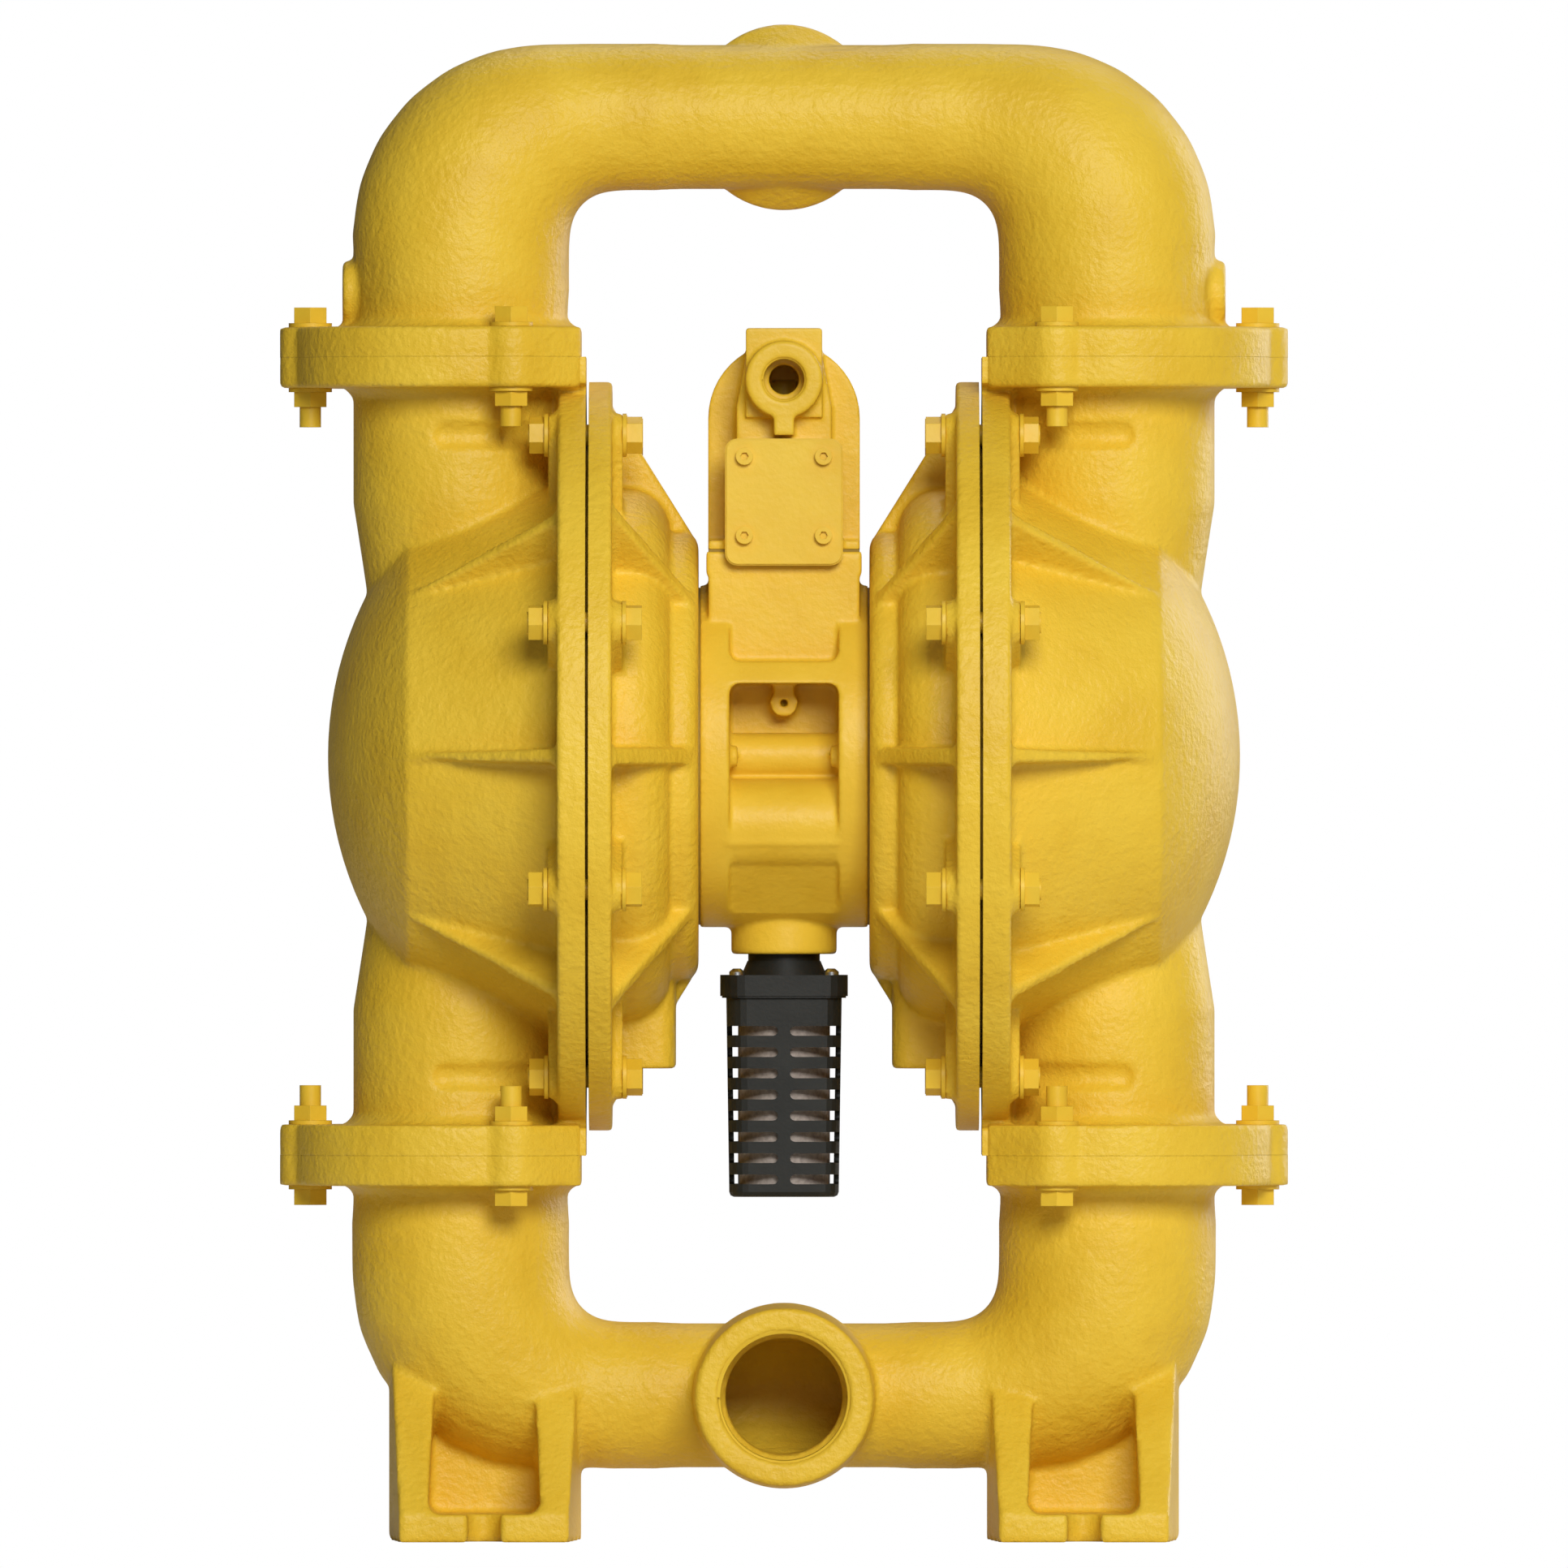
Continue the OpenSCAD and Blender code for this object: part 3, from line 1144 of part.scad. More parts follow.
module muffler_cap() {
    color(black) difference() {
        union() {
            translate([0, 0, cage_top_z + cap_chamfer]) linear_extrude(cap_h - cap_chamfer)
                polygon(round_rect(2 * cap_half_w, 2 * cap_half_w, cap_corner_r));
            translate([0, 0, cage_top_z]) linear_extrude(cap_chamfer)
                polygon(round_rect(2 * cap_half_w - 2 * cap_chamfer, 2 * cap_half_w - 2 * cap_chamfer,
                    cap_corner_r - cap_chamfer));
            translate([0, 0, cap_top_z])
                cylinder(h = muffler_z - cap_top_z - 3, r1 = neck_root_r, r2 = neck_r + 0.3);
            translate([0, 0, muffler_z - 3]) cylinder(h = 15, r = neck_r);
        }
        translate([0, 0, cage_top_z - 1]) cylinder(h = far / 4, r = element_bore_r);
        translate([0, 0, cage_top_z - 1]) cylinder(h = 4, r = element_r + 0.3);
        at_cap_screws() translate([0, 0, cage_top_z - 1]) cylinder(h = cap_h + 2, r = cap_screw_r + 0.35);
    }
}

// Tapered square cage with rows of slots, and posts inside its corners for the cap's screws.
module muffler_cage() {
    bottom = cage_top_z - cage_h;
    bar_half_w = 2.65;
    slot_end = cage_half_w - 2.9;
    vent = concat([[slot_end, -vent_h / 2], [slot_end, vent_h / 2]],
        arc(bar_half_w + vent_h / 2, 0, vent_h / 2, 90, 270, 6));
    color(black) difference() {
        union() {
            difference() {
                loft([muffler_ring(cage_foot_half_w - 2, 6.6, bottom),
                    muffler_ring(cage_foot_half_w - 0.6, 8, bottom + 0.7),
                    muffler_ring(cage_foot_half_w, 8.6, bottom + 2.2),
                    muffler_ring(cage_half_w, 9, cage_top_z)]);
                loft([muffler_ring(cage_foot_half_w - cage_wall, 6.2, bottom + cage_wall),
                    muffler_ring(cage_half_w - cage_wall, 6.6, cage_top_z + 1)]);
            }
            at_cap_screws() translate([0, 0, cage_top_z - 9]) cylinder(h = 9, r = 2.8);
        }
        at_cap_screws() translate([0, 0, cage_top_z - 8]) cylinder(h = 9, r = 1.5);
        for (row = [0 : slot_rows - 1]) for (a = [0 : 90 : 270])
            translate([0, 0, bottom + 7.8 + slot_pitch * row]) rotate([0, 0, a])
                for (m = [0, 1]) mirror([m, 0, 0]) extruded_y(-cage_half_w - 1, -cage_foot_half_w + 4, vent);
    }
}

module at_cap_screws() {
    place = cap_half_w - cap_screw_inset;
    for (a = [0 : 90 : 270]) rotate([0, 0, a]) translate([place, place, 0]) children();
}

module muffler_element() {
    bottom = cage_top_z - cage_h + cage_wall;
    color(felt) difference() {
        translate([0, 0, bottom]) cylinder(h = cage_top_z - bottom + 2.9, r = element_r);
        translate([0, 0, bottom + 4]) cylinder(h = cage_h + 10, r = element_bore_r);
    }
}

module muffler_screws() {
    color(steel) at_cap_screws() translate([0, 0, cap_top_z]) {
        cylinder(h = cap_screw_head_h, r = cap_screw_head_r);
        translate([0, 0, cap_screw_head_h])
            cylinder(h = cap_screw_head_h, r1 = cap_screw_head_r, r2 = cap_screw_head_r / 2);
        translate([0, 0, -cap_h - cap_screw_depth]) cylinder(h = cap_h + cap_screw_depth, r = cap_screw_r);
    }
}

module suction_manifold() {
    color(paint) on_level("lower") mirror([0, 1, 0]) manifold_casting(true);
}

module discharge_manifold() {
    color(paint) on_level("upper") manifold_casting(false);
}

module left_liquid_chamber() {
    color(paint) on_side("left") liquid_chamber();
}

module right_liquid_chamber() {
    color(paint) on_side("right") liquid_chamber();
}

module left_air_chamber() {
    color(paint) on_side("left") air_chamber();
}

module right_air_chamber() {
    color(paint) on_side("right") air_chamber();
}

module left_diaphragm() {
    color(rubber) on_side("left") diaphragm();
}

module right_diaphragm() {
    color(rubber) on_side("right") diaphragm();
}

module left_inner_plate() {
    color(paint) on_side("left") inner_plate();
}

module right_inner_plate() {
    color(paint) on_side("right") inner_plate();
}

module left_outer_plate() {
    color(steel) on_side("left") outer_plate();
}

module right_outer_plate() {
    color(steel) on_side("right") outer_plate();
}

module left_plate_bolt() {
    color(steel) on_side("left") plate_bolt();
}

module right_plate_bolt() {
    color(steel) on_side("right") plate_bolt();
}

module left_discharge_ball() {
    color(rubber) on_side("left") check_ball("upper");
}

module right_discharge_ball() {
    color(rubber) on_side("right") check_ball("upper");
}

module left_suction_ball() {
    color(rubber) on_side("left") check_ball("lower");
}

module right_suction_ball() {
    color(rubber) on_side("right") check_ball("lower");
}

module left_discharge_cage() {
    color(bearing) on_side("left") ball_cage("upper");
}

module right_discharge_cage() {
    color(bearing) on_side("right") ball_cage("upper");
}

module left_suction_cage() {
    color(bearing) on_side("left") ball_cage("lower");
}

module right_suction_cage() {
    color(bearing) on_side("right") ball_cage("lower");
}

module left_discharge_seat() {
    color(steel) on_side("left") valve_seat("upper");
}

module right_discharge_seat() {
    color(steel) on_side("right") valve_seat("upper");
}

module left_suction_seat() {
    color(steel) on_side("left") valve_seat("lower");
}

module right_suction_seat() {
    color(steel) on_side("right") valve_seat("lower");
}

module front_valve_cover() {
    color(paint) valve_cover();
}

module rear_valve_cover() {
    color(paint) mirror([0, 1, 0]) valve_cover();
}

suction_manifold();
discharge_manifold();
left_liquid_chamber();
right_liquid_chamber();
left_air_chamber();
right_air_chamber();
centre_block();
hub_gaskets();
hub_screws();
left_diaphragm();
right_diaphragm();
diaphragm_shaft();
left_inner_plate();
right_inner_plate();
left_outer_plate();
right_outer_plate();
left_plate_bolt();
right_plate_bolt();
shaft_bushes();
shaft_seals();
pilot_sleeve();
pilot_spool();
pilot_pins();
pilot_pin_bushes();
left_discharge_ball();
right_discharge_ball();
left_suction_ball();
right_suction_ball();
left_discharge_cage();
right_discharge_cage();
left_suction_cage();
right_suction_cage();
left_discharge_seat();
right_discharge_seat();
left_suction_seat();
right_suction_seat();
seat_seals();
chamber_bolts();
chamber_nuts();
chamber_washers();
flange_bolts();
flange_nuts();
flange_washers();
air_valve_body();
air_valve_gasket();
air_valve_screws();
spool_sleeve();
main_spool();
front_valve_cover();
rear_valve_cover();
valve_cover_gaskets();
valve_cover_screws();
muffler_cap();
muffler_cage();
muffler_element();
muffler_screws();
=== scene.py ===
"""Studio picture of an air-operated double-diaphragm pump in gold-yellow enamel.

Lengths are in metres. The pump stands on the floor at z = 0, and the camera looks along +Y.
"""

import json
import math

import bpy
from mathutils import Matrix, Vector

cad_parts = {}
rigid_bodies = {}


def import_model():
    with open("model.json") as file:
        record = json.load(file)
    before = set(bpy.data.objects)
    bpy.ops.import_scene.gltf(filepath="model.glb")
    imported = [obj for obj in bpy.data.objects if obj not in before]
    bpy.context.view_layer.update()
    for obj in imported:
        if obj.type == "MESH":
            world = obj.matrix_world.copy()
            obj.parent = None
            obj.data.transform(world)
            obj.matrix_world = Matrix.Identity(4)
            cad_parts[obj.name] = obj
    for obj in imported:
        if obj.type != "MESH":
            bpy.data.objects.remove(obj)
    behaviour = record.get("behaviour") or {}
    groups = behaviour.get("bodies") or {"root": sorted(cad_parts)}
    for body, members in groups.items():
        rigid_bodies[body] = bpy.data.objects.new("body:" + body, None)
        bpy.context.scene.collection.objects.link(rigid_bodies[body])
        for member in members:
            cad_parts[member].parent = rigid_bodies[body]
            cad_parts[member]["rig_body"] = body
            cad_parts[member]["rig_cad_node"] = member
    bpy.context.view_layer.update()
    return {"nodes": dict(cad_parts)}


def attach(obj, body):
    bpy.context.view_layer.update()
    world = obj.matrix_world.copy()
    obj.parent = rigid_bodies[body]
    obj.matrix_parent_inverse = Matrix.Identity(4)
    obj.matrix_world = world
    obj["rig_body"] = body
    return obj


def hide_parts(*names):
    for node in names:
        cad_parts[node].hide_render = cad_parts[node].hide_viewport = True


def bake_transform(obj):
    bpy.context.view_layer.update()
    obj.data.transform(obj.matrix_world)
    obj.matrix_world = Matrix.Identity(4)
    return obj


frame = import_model()
NODES = frame["nodes"]

# Main places of the pump

# Height of the diaphragm shaft
AXIS = 0.3475
# From the shaft up or down to the joint between a manifold and a chamber
JOINT = 0.1768
# From the middle of the pump out to the middle of a leg
LEG_X = 0.1435
# From the middle of the pump out to the machined rims of the chambers, and between them
LIQUID_FACE = 0.0877
AIR_FACE = 0.0864
DIAPHRAGM_X = 0.087


# Materials

# Outer edge of the diaphragm's clean rubber, outside which it caught paint
CLEAN_RUBBER = 0.1448


def linear(code):
    """Linear colour with alpha from a hex code."""
    parts = [int(code[i : i + 2], 16) / 255 for i in (0, 2, 4)]
    return [c / 12.92 if c <= 0.04045 else ((c + 0.055) / 1.055) ** 2.4 for c in parts] + [1]


class Shader:
    """A Principled material and a short way to add and wire its nodes."""

    def __init__(self, name, rough, metal=0.0, specular=0.5):
        self.mat = bpy.data.materials.new(name)
        self.mat.use_nodes = True
        self.tree = self.mat.node_tree
        self.out = self.tree.nodes["Principled BSDF"]
        self.out.inputs["Roughness"].default_value = rough
        self.out.inputs["Metallic"].default_value = metal
        self.out.inputs["Specular IOR Level"].default_value = specular
        self.coord = self.tree.nodes.new("ShaderNodeTexCoord").outputs["Object"]

    def add(self, kind, links=(), **values):
        """Adds a node, sets its values and wires or sets its inputs."""
        node = self.tree.nodes.new(kind)
        for key, value in values.items():
            setattr(node, key, value)
        for socket, source in dict(links).items():
            if hasattr(source, "is_output"):
                self.tree.links.new(source, node.inputs[socket])
            else:
                node.inputs[socket].default_value = source
        return node

    def noise(self, scale, detail=2.0, rough=0.5):
        """Soft noise over the piece."""
        links = {"Vector": self.coord, "Scale": scale, "Detail": detail, "Roughness": rough}
        return self.add("ShaderNodeTexNoise", links).outputs["Fac"]

    def ramp(self, fac, stops):
        """Colour that changes with a value."""
        node = self.add("ShaderNodeValToRGB", {"Fac": fac})
        ramp = node.color_ramp
        while len(ramp.elements) < len(stops):
            ramp.elements.new(0.5)
        for element, (place, colour) in zip(ramp.elements, stops):
            element.position = place
            element.color = linear(colour)
        return node.outputs["Color"]

    def math(self, operation, a, b):
        """Result of one sum."""
        return self.add("ShaderNodeMath", {0: a, 1: b}, operation=operation).outputs[0]

    def bump(self, height, strength, distance, normal=None):
        """Normal of a surface that rises with a value."""
        links = {"Height": height, "Strength": strength, "Distance": distance}
        if normal:
            links["Normal"] = normal
        return self.add("ShaderNodeBump", links).outputs["Normal"]

    def plug(self, socket, source):
        """Wires an output to the material's own socket."""
        self.tree.links.new(source, self.out.inputs[socket])


def enamel(name, grain, edge):
    """Gold-yellow paint over metal: orange peel as deep as grain says, and edges rounded by edge."""
    s = Shader(name, 0.4, specular=0.3)
    s.plug("Base Color", s.ramp(s.noise(22, 3, 0.55), [(0.32, "e1b72e"), (0.5, "e7bf35"), (0.7, "ebc53c")]))
    peel = s.math("ADD", s.noise(330, 2, 0.5), s.math("MULTIPLY", s.noise(130, 2, 0.5), 0.8))
    peel = s.math("ADD", peel, s.math("MULTIPLY", s.noise(1500, 2, 0.6), 0.25))
    round_edge = s.add("ShaderNodeBevel", {"Radius": edge}, samples=4).outputs["Normal"]
    s.plug("Normal", s.bump(peel, 0.6, grain, round_edge))
    gloss = {"Value": s.noise(90, 3), "To Min": 0.36, "To Max": 0.5}
    s.plug("Roughness", s.add("ShaderNodeMapRange", gloss).outputs[0])
    return s.mat


def plain(name, low, high, rough, metal=0.0, scale=120, depth=0.00008, specular=0.5):
    """Material with a slight change of tone and a fine grain."""
    s = Shader(name, rough, metal, specular)
    s.plug("Base Color", s.ramp(s.noise(scale, 4), [(0.3, low), (0.7, high)]))
    s.plug("Normal", s.bump(s.noise(scale * 12, 3), 0.5, depth))
    return s.mat


def oversprayed_rubber():
    """Black rubber of a diaphragm, with paint on its outer edge."""
    s = Shader("diaphragm_rubber", 0.6, specular=0.3)
    along = s.add("ShaderNodeSeparateXYZ", {"Vector": s.coord})
    rise = s.math("SUBTRACT", along.outputs["Z"], AXIS)
    square = s.math("ADD", s.math("POWER", rise, 2.0), s.math("POWER", along.outputs["Y"], 2.0))
    radius = s.math("ADD", s.math("SQRT", square, 0.0), s.math("MULTIPLY", s.noise(60, 3), 0.0004))
    # The ramp runs from 0 to 1, so the radius is stretched to fill most of it
    stretch = 5.0
    edge = CLEAN_RUBBER * stretch
    s.plug(
        "Base Color",
        s.ramp(s.math("MULTIPLY", radius, stretch), [(edge, "171717"), (edge + 0.003, "b8922c")]),
    )
    s.plug("Normal", s.bump(s.noise(1100, 3), 0.5, 0.0001))
    return s.mat


MAT = {
    "cast": enamel("cast_enamel", 0.0011, 0.0007),
    "fine": enamel("fine_cast_enamel", 0.0004, 0.0008),
    # Gasket edges: overspray in a dark olive well below the enamel, which is partly painted shade for the
    # gaps between the parts
    "gasket": plain("gasket_overspray_and_painted_shade", "8f7422", "a28430", 0.6, 0.0, 90, 0.0001, 0.3),
    "machined": enamel("machined_enamel", 0.0002, 0.0005),
    "steel": plain("brushed_steel", "9fa2a4", "c4c7c9", 0.3, 1.0, 400, 0.00002),
    "rubber": plain("moulded_rubber", "141414", "1d1d1d", 0.6, 0.0, 90, 0.0001, 0.3),
    "bearing": plain("bearing_plastic", "d2cfc4", "dedbd1", 0.45),
    "black": plain("black_plastic", "171814", "20211d", 0.5, 0.0, 60, 0.00012, 0.3),
    "diaphragm": oversprayed_rubber(),
    "felt": plain("filter_felt", "a3958a", "c6b9ae", 0.95, 0.0, 500, 0.0004, 0.1),
}


# Modelling helpers


def only(obj):
    """Selects one object and makes it active."""
    if bpy.context.mode != "OBJECT":
        bpy.ops.object.mode_set(mode="OBJECT")
    bpy.ops.object.select_all(action="DESELECT")
    obj.select_set(True)
    bpy.context.view_layer.objects.active = obj


def edit(obj):
    """Opens a piece in edit mode with all of it selected."""
    only(obj)
    bpy.ops.object.mode_set(mode="EDIT")
    bpy.ops.mesh.select_all(action="SELECT")


def modify(obj, kind, **values):
    """Adds one modifier and applies it."""
    only(obj)
    modifier = obj.modifiers.new(kind.lower(), kind)
    for key, value in values.items():
        setattr(modifier, key, value)
    bpy.ops.object.modifier_apply(modifier=modifier.name)


def dress(obj, look, angle=30):
    """Gives a piece its material and smooth shading up to an angle in degrees."""
    only(obj)
    obj.data.materials.clear()
    obj.data.materials.append(MAT[look])
    bpy.ops.object.shade_smooth_by_angle(angle=math.radians(angle), keep_sharp_edges=False)


def copy_node(node, name):
    """Copy of a CAD node's mesh, merged to one skin, and the body that the node rides on."""
    only(NODES[node])
    bpy.ops.object.duplicate()
    obj = bpy.context.active_object
    obj.name = name
    obj.parent = None
    body = obj["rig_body"]
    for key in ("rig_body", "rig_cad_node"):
        del obj[key]
    edit(obj)
    bpy.ops.mesh.remove_doubles(threshold=0.00001)
    bpy.ops.object.mode_set(mode="OBJECT")
    return obj, body


def tool_body(make, **where):
    """Tool body for a cut, made by one primitive."""
    bpy.ops.object.select_all(action="DESELECT")
    make(**where)
    obj = bpy.context.active_object
    bpy.ops.object.transform_apply(location=True, rotation=True, scale=True)
    return obj


def cut(obj, tool):
    """Takes a tool body out of a piece and removes the tool."""
    modify(obj, "BOOLEAN", operation="DIFFERENCE", object=tool, solver="EXACT")
    bpy.data.objects.remove(tool)


def halve(obj, place, normal):
    """Cuts a mesh at a plane and keeps the part behind it."""
    edit(obj)
    bpy.ops.mesh.bisect(plane_co=place, plane_no=normal, use_fill=True, clear_outer=True)
    bpy.ops.object.mode_set(mode="OBJECT")


def join(obj, other):
    """Puts another mesh into a piece, before its skin is rebuilt as one."""
    bpy.ops.object.select_all(action="DESELECT")
    other.select_set(True)
    obj.select_set(True)
    bpy.context.view_layer.objects.active = obj
    bpy.ops.object.join()


def weight_group(obj, name, weigh, levels=12):
    """Vertex group whose weights, in even levels, come from a function of the place."""
    group = obj.vertex_groups.new(name=name)
    points = {}
    for v in obj.data.vertices:
        points.setdefault(round(levels * min(max(weigh(v.co), 0), 1)), []).append(v.index)
    for level, found in points.items():
        if level:
            group.add(found, level / levels, "REPLACE")
    return group.name


def square_off(obj, place, normal, depth=0.0026):
    """Gives a casting a machined end: trims its rounded end and draws the cut face out to the plane."""
    way = Vector(normal)
    edit(obj)
    bpy.ops.mesh.bisect(
        plane_co=Vector(place) - way * depth,
        plane_no=way,
        use_fill=True,
        clear_outer=True,
        threshold=1e-6,
    )
    bpy.ops.mesh.extrude_region_move(TRANSFORM_OT_translate={"value": way * depth})
    bpy.ops.mesh.select_all(action="SELECT")
    bpy.ops.mesh.normals_make_consistent(inside=False)
    bpy.ops.object.mode_set(mode="OBJECT")


# Castings

# Triangles that one casting may have before its ends are squared off
MOST_TRIANGLES = 165000
# How much a bend swells again after its rings are smoothed away
PIPE_SWELL = 0.0011
PIPE_SMOOTHING = 170

# Thickness of one flange, and the radii of its round middle and of the bore through it
FLANGE = 0.0135
DISC = 0.0735
DISC_BORE = 0.0498
# From the middle of the pump out to the straight inner edge of a manifold's flange
FLANGE_IN = 0.0898

# Wrench groove: its radius, how far out it runs round the leg, and its rise above the shaft
GROOVE = 0.0072
GROOVE_OUT = 0.0508
GROOVE_UP = 0.142
# Where the groove starts and ends, in degrees from the front of the leg towards the rim
GROOVE_START = -8
GROOVE_END = 52


def fade(distance, width):
    """Weight that grows from 0 to 1 over a width; it may go past both."""
    return distance / width


def manifold_pipe(side):
    """Weights for a manifold's pipe, which fade towards flanges, port, side bosses and feet."""
    past_fillet = 0.018
    tube_rise = 0.24
    port_half = 0.044
    foot_x, foot_half, foot_top = 0.1326, 0.044, 0.083
    boss_top, boss_out = 0.222, LEG_X + 0.036

    def weigh(co):
        rise = side * (co.z - AXIS)
        weight = fade(rise - JOINT - past_fillet, 0.012)
        if rise > tube_rise:
            weight = min(weight, fade(abs(co.x) - port_half, 0.014))
        if side < 0:
            beside_foot = fade(abs(abs(co.x) - foot_x) - foot_half, 0.012)
            above_foot = fade(co.z - foot_top, 0.012)
            return min(weight, max(beside_foot, above_foot))
        above_boss = fade(rise - boss_top, 0.01)
        inside_boss = fade(boss_out - abs(co.x), 0.008)
        return min(weight, max(above_boss, inside_boss))

    return weigh


def add_flange_disc(obj, x, z):
    """Adds the round middle of a flange, which bulges between its bolt ears."""
    add_cylinder = bpy.ops.mesh.primitive_cylinder_add
    disc = tool_body(add_cylinder, vertices=128, radius=DISC, depth=FLANGE, location=(x, 0, z))
    cut(disc, tool_body(add_cylinder, vertices=96, radius=DISC_BORE, depth=0.03, location=(x, 0, z)))
    outward = math.copysign(1, x)
    halve(disc, (outward * FLANGE_IN, 0, 0), (-outward, 0, 0))
    join(obj, disc)


def cut_wrench_groove(obj, x, up, front):
    """Cuts a shallow groove round a ball housing, level with the chamber bolt next to it."""
    side = math.copysign(1, x)
    z = AXIS + up * GROOVE_UP
    start, end = math.radians(GROOVE_START), math.radians(GROOVE_END)
    ring = tool_body(
        bpy.ops.mesh.primitive_torus_add,
        major_segments=120,
        minor_segments=40,
        major_radius=GROOVE_OUT,
        minor_radius=GROOVE,
        location=(x, 0, z),
    )
    for angle, way in ((start, -1), (end, 1)):
        across = Vector((-side * math.cos(angle), -front * math.sin(angle), 0))
        halve(ring, (x, 0, z), across * way)
    cut(obj, ring)
    tip = (x - side * GROOVE_OUT * math.sin(start), front * GROOVE_OUT * math.cos(start), z)
    add_ball = bpy.ops.mesh.primitive_uv_sphere_add
    cut(obj, tool_body(add_ball, segments=48, ring_count=24, radius=GROOVE, location=tip))


def dress_manifold(obj):
    """Adds the discs of a manifold's two flanges."""
    up = 1 if obj.name.startswith("discharge") else -1
    for x in (-LEG_X, LEG_X):
        add_flange_disc(obj, x, AXIS + up * (JOINT + FLANGE / 2))


def dress_chamber(obj):
    """Adds the discs of a liquid chamber's two flanges, and cuts its wrench grooves."""
    x = -LEG_X if obj.name.startswith("left") else LEG_X
    for up in (-1, 1):
        for front in (-1, 1):
            cut_wrench_groove(obj, x, up, front)
        add_flange_disc(obj, x, AXIS + up * (JOINT - FLANGE / 2))


def casting(node, grain, passes, carve=None, pipe=None, ends=(), look="cast"):
    """Cast part: one even skin with rounded edges and filled corners, and machined ends."""
    obj, body = copy_node(node, node + "_casting")
    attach(obj, body)
    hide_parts(node)
    if carve:
        carve(obj)
    modify(obj, "REMESH", mode="VOXEL", voxel_size=grain, adaptivity=0.0)
    modify(obj, "SMOOTH", factor=0.5, iterations=passes)
    if pipe:
        group = weight_group(obj, "pipe", pipe)
        modify(obj, "SMOOTH", factor=0.5, iterations=PIPE_SMOOTHING, vertex_group=group)
        modify(obj, "DISPLACE", strength=PIPE_SWELL, mid_level=0.0, vertex_group=group)
        modify(obj, "SMOOTH", factor=0.5, iterations=2)
    modify(obj, "DECIMATE", ratio=min(1.0, MOST_TRIANGLES / (2 * len(obj.data.polygons))))
    for place, normal in ends:
        square_off(obj, place, normal)
    dress(obj, look, 50)


# Machined ends: a place on the plane, and the way it faces
TOP_JOINT = (0, 0, AXIS + JOINT)
LOW_JOINT = (0, 0, AXIS - JOINT)
CHAMBER_ENDS = [(TOP_JOINT, (0, 0, 1)), (LOW_JOINT, (0, 0, -1))]

CASTINGS = {
    "suction_manifold": (0.0015, 2, dress_manifold, manifold_pipe(-1), [(LOW_JOINT, (0, 0, 1))]),
    "discharge_manifold": (0.0015, 2, dress_manifold, manifold_pipe(1), [(TOP_JOINT, (0, 0, -1))]),
    "left_liquid_chamber": (
        0.0016, 2, dress_chamber, None, CHAMBER_ENDS + [((-LIQUID_FACE, 0, 0), (1, 0, 0))],
    ),
    "right_liquid_chamber": (
        0.0016, 2, dress_chamber, None, CHAMBER_ENDS + [((LIQUID_FACE, 0, 0), (-1, 0, 0))],
    ),
    "left_air_chamber": (0.0014, 2, None, None, [((-AIR_FACE, 0, 0), (-1, 0, 0))]),
    "right_air_chamber": (0.0014, 2, None, None, [((AIR_FACE, 0, 0), (1, 0, 0))]),
    "centre_block": (0.0010, 4, None, None, (), "fine"),
    "air_valve_body": (0.0008, 3, None, None, (), "fine"),
}


# Diaphragms

SECTORS = 12


def flexing_diaphragm(node, x):
    """Diaphragm cut into even sectors round the shaft."""
    half = math.pi / SECTORS
    middle = Vector((x, 0, AXIS))
    pieces = [copy_node(node, f"{node}_sector_{i + 1}")[0] for i in range(SECTORS)]
    for i, obj in enumerate(pieces):
        turn = 2 * half * i
        for edge, way in ((turn - half, -1), (turn + half, 1)):
            halve(obj, middle, Vector((0, -math.sin(edge), math.cos(edge))) * way)
        dress(obj, "diaphragm")
        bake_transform(obj)
    for obj in pieces:
        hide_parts(node)


# Looks of the parts that keep their CAD shape

LOOKS = {
    "machined": (
        "chamber_bolts chamber_nuts chamber_washers flange_bolts flange_nuts flange_washers "
        "air_valve_screws front_valve_cover rear_valve_cover valve_cover_screws "
        "left_inner_plate right_inner_plate"
    ),
    "steel": (
        "hub_screws diaphragm_shaft left_plate_bolt right_plate_bolt left_outer_plate "
        "right_outer_plate pilot_sleeve pilot_spool pilot_pins left_discharge_seat "
        "right_discharge_seat left_suction_seat right_suction_seat spool_sleeve muffler_screws"
    ),
    "rubber": (
        "shaft_seals left_discharge_ball right_discharge_ball left_suction_ball "
        "right_suction_ball seat_seals valve_cover_gaskets"
    ),
    # These gaskets get the dark olive overspray, partly painted shade for the gaps they sit in
    "gasket": "hub_gaskets air_valve_gasket",
    "bearing": (
        "shaft_bushes pilot_pin_bushes main_spool left_discharge_cage right_discharge_cage "
        "left_suction_cage right_suction_cage"
    ),
    "black": "muffler_cap muffler_cage",
    "felt": "muffler_element",
}

flexing_diaphragm("left_diaphragm", -DIAPHRAGM_X)
flexing_diaphragm("right_diaphragm", DIAPHRAGM_X)
for node, values in CASTINGS.items():
    casting(node, *values)
for look, names in LOOKS.items():
    for node in names.split():
        dress(NODES[node], look)


# Threads


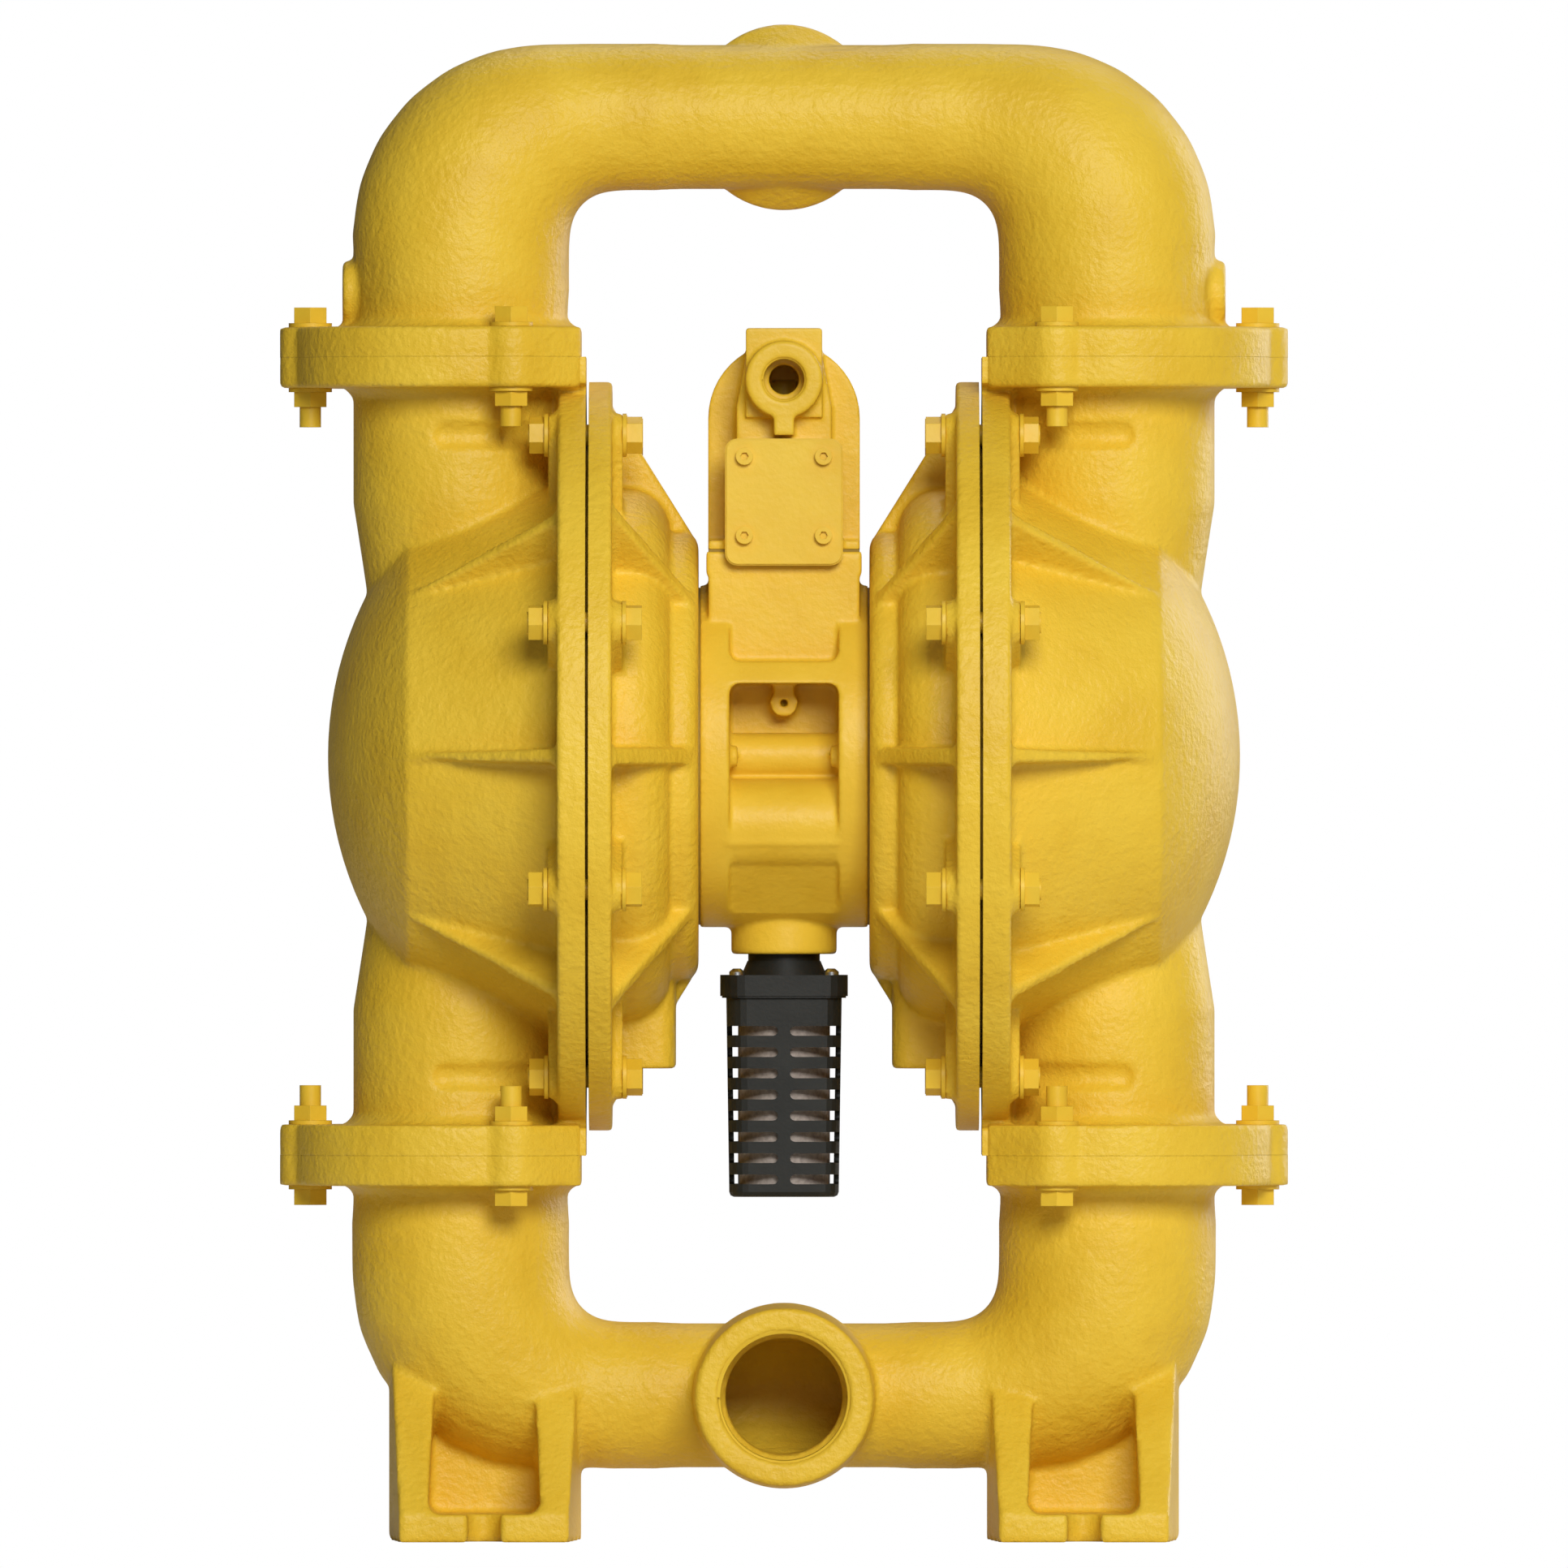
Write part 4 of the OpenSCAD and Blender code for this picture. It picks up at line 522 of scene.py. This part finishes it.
def thread(name, radius, depth, pitch, turns, mouth, inward):
    """Turns of a thread: a three-sided profile swept round an axis, starting at a mouth and running in."""
    bpy.ops.object.select_all(action="DESELECT")
    bpy.ops.mesh.primitive_circle_add(vertices=3, radius=depth, fill_type="NOTHING", location=(0, 0, 0))
    obj = bpy.context.active_object
    obj.name = name
    obj.rotation_euler = (math.pi / 2, 0, 0)
    bpy.ops.object.transform_apply(location=False, rotation=True, scale=False)
    obj.rotation_euler = (0, -math.pi / 2, 0)
    bpy.ops.object.transform_apply(location=False, rotation=True, scale=False)
    obj.location = (radius, 0, 0)
    bpy.ops.object.transform_apply(location=True, rotation=False, scale=False)
    modify(obj, "SCREW", axis="Z", angle=2 * math.pi, screw_offset=pitch, iterations=turns, steps=64)
    obj.rotation_euler = Vector(inward).to_track_quat("Z", "Y").to_euler()
    obj.location = mouth
    only(obj)
    bpy.ops.object.transform_apply(location=True, rotation=True, scale=False)
    edit(obj)
    bpy.ops.mesh.normals_make_consistent(inside=False)
    bpy.ops.object.mode_set(mode="OBJECT")
    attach(obj, "pump")
    dress(obj, "machined")


# Radius, depth, pitch and number of turns of the thread in each kind of port
FLUID_THREAD = (0.0293, 0.00125, 0.0022, 11)
AIR_THREAD = (0.0099, 0.00095, 0.0018, 8)

thread("inlet_thread", *FLUID_THREAD, mouth=(0, -0.0737, 0.064), inward=(0, 1, 0))
thread("outlet_thread", *FLUID_THREAD, mouth=(0, 0.0737, 0.631), inward=(0, -1, 0))
thread("air_inlet_thread", *AIR_THREAD, mouth=(0, -0.0538, 0.5143), inward=(0, 1, 0))


# Studio

# What the lamps face
MIDDLE = Vector((0, 0, 0.34))
# Light that the world gives on the left and on the right of the pump
DIM_SIDE = 0.03
BRIGHT_SIDE = 0.37
# Lens in millimetres, width of the picture at the pump, and height of the camera
LENS = 1200
WIDTH = 0.6955
CAMERA_UP = 0.3352


def area_light(name, place, size, power):
    """Soft light that faces the middle of the pump."""
    data = bpy.data.lights.new(name, "AREA")
    data.shape = "RECTANGLE"
    data.size, data.size_y = size
    data.energy = power
    obj = bpy.data.objects.new(name, data)
    bpy.context.scene.collection.objects.link(obj)
    obj.location = place
    obj.rotation_euler = (MIDDLE - obj.location).to_track_quat("-Z", "Y").to_euler()


def studio_world():
    """White to the camera, and a soft light on the pump that grows from left to right."""
    world = bpy.data.worlds.new("studio")
    bpy.context.scene.world = world
    world.use_nodes = True
    tree = world.node_tree
    back = tree.nodes["Background"]
    back.inputs["Color"].default_value = (1, 1, 1, 1)
    ray = tree.nodes.new("ShaderNodeLightPath")
    side = tree.nodes.new("ShaderNodeSeparateXYZ")
    tree.links.new(tree.nodes.new("ShaderNodeTexCoord").outputs["Generated"], side.inputs[0])
    fill = tree.nodes.new("ShaderNodeMapRange")
    fill.inputs["From Min"].default_value = -1.0
    fill.inputs["To Min"].default_value = DIM_SIDE
    fill.inputs["To Max"].default_value = BRIGHT_SIDE
    tree.links.new(side.outputs["X"], fill.inputs["Value"])
    level = tree.nodes.new("ShaderNodeMix")
    tree.links.new(ray.outputs["Is Camera Ray"], level.inputs["Factor"])
    tree.links.new(fill.outputs[0], level.inputs["A"])
    level.inputs["B"].default_value = 1.0
    tree.links.new(level.outputs["Result"], back.inputs["Strength"])


def pale_floor():
    """Round floor just under the pump, white to the camera."""
    bpy.ops.object.select_all(action="DESELECT")
    bpy.ops.mesh.primitive_circle_add(vertices=96, radius=1.4, fill_type="NGON", location=(0, 0, -0.0004))
    floor = bpy.context.active_object
    floor.name = "studio_floor"
    mat = bpy.data.materials.new("pale_floor")
    mat.use_nodes = True
    tree = mat.node_tree
    diffuse = tree.nodes["Principled BSDF"]
    diffuse.inputs["Base Color"].default_value = linear("e8e4dc")
    diffuse.inputs["Roughness"].default_value = 0.9
    glow = tree.nodes.new("ShaderNodeEmission")
    glow.inputs["Strength"].default_value = 1.0
    path = tree.nodes.new("ShaderNodeLightPath")
    blend = tree.nodes.new("ShaderNodeMixShader")
    tree.links.new(path.outputs["Is Camera Ray"], blend.inputs["Fac"])
    tree.links.new(diffuse.outputs[0], blend.inputs[1])
    tree.links.new(glow.outputs[0], blend.inputs[2])
    tree.links.new(blend.outputs[0], tree.nodes["Material Output"].inputs["Surface"])
    floor.data.materials.append(mat)


def front_camera():
    """Camera far in front of the pump with a long lens, level with its middle."""
    data = bpy.data.cameras.new("camera")
    data.lens = LENS
    data.clip_end = 100
    camera = bpy.data.objects.new("camera", data)
    bpy.context.scene.collection.objects.link(camera)
    camera.location = (0, -WIDTH * LENS / data.sensor_width, CAMERA_UP)
    camera.rotation_euler = (math.pi / 2, 0, 0)
    bpy.context.scene.camera = camera


area_light("key_light", (0.6, -3.72, 1.75), (1.5, 1.2), 116)
area_light("right_rim", (1.9, 1.9, 1.0), (0.9, 1.8), 26)
area_light("top_rim", (0.4, 1.5, 2.5), (1.8, 0.9), 14)
studio_world()
pale_floor()
front_camera()
bpy.context.scene.view_settings.view_transform = "Standard"
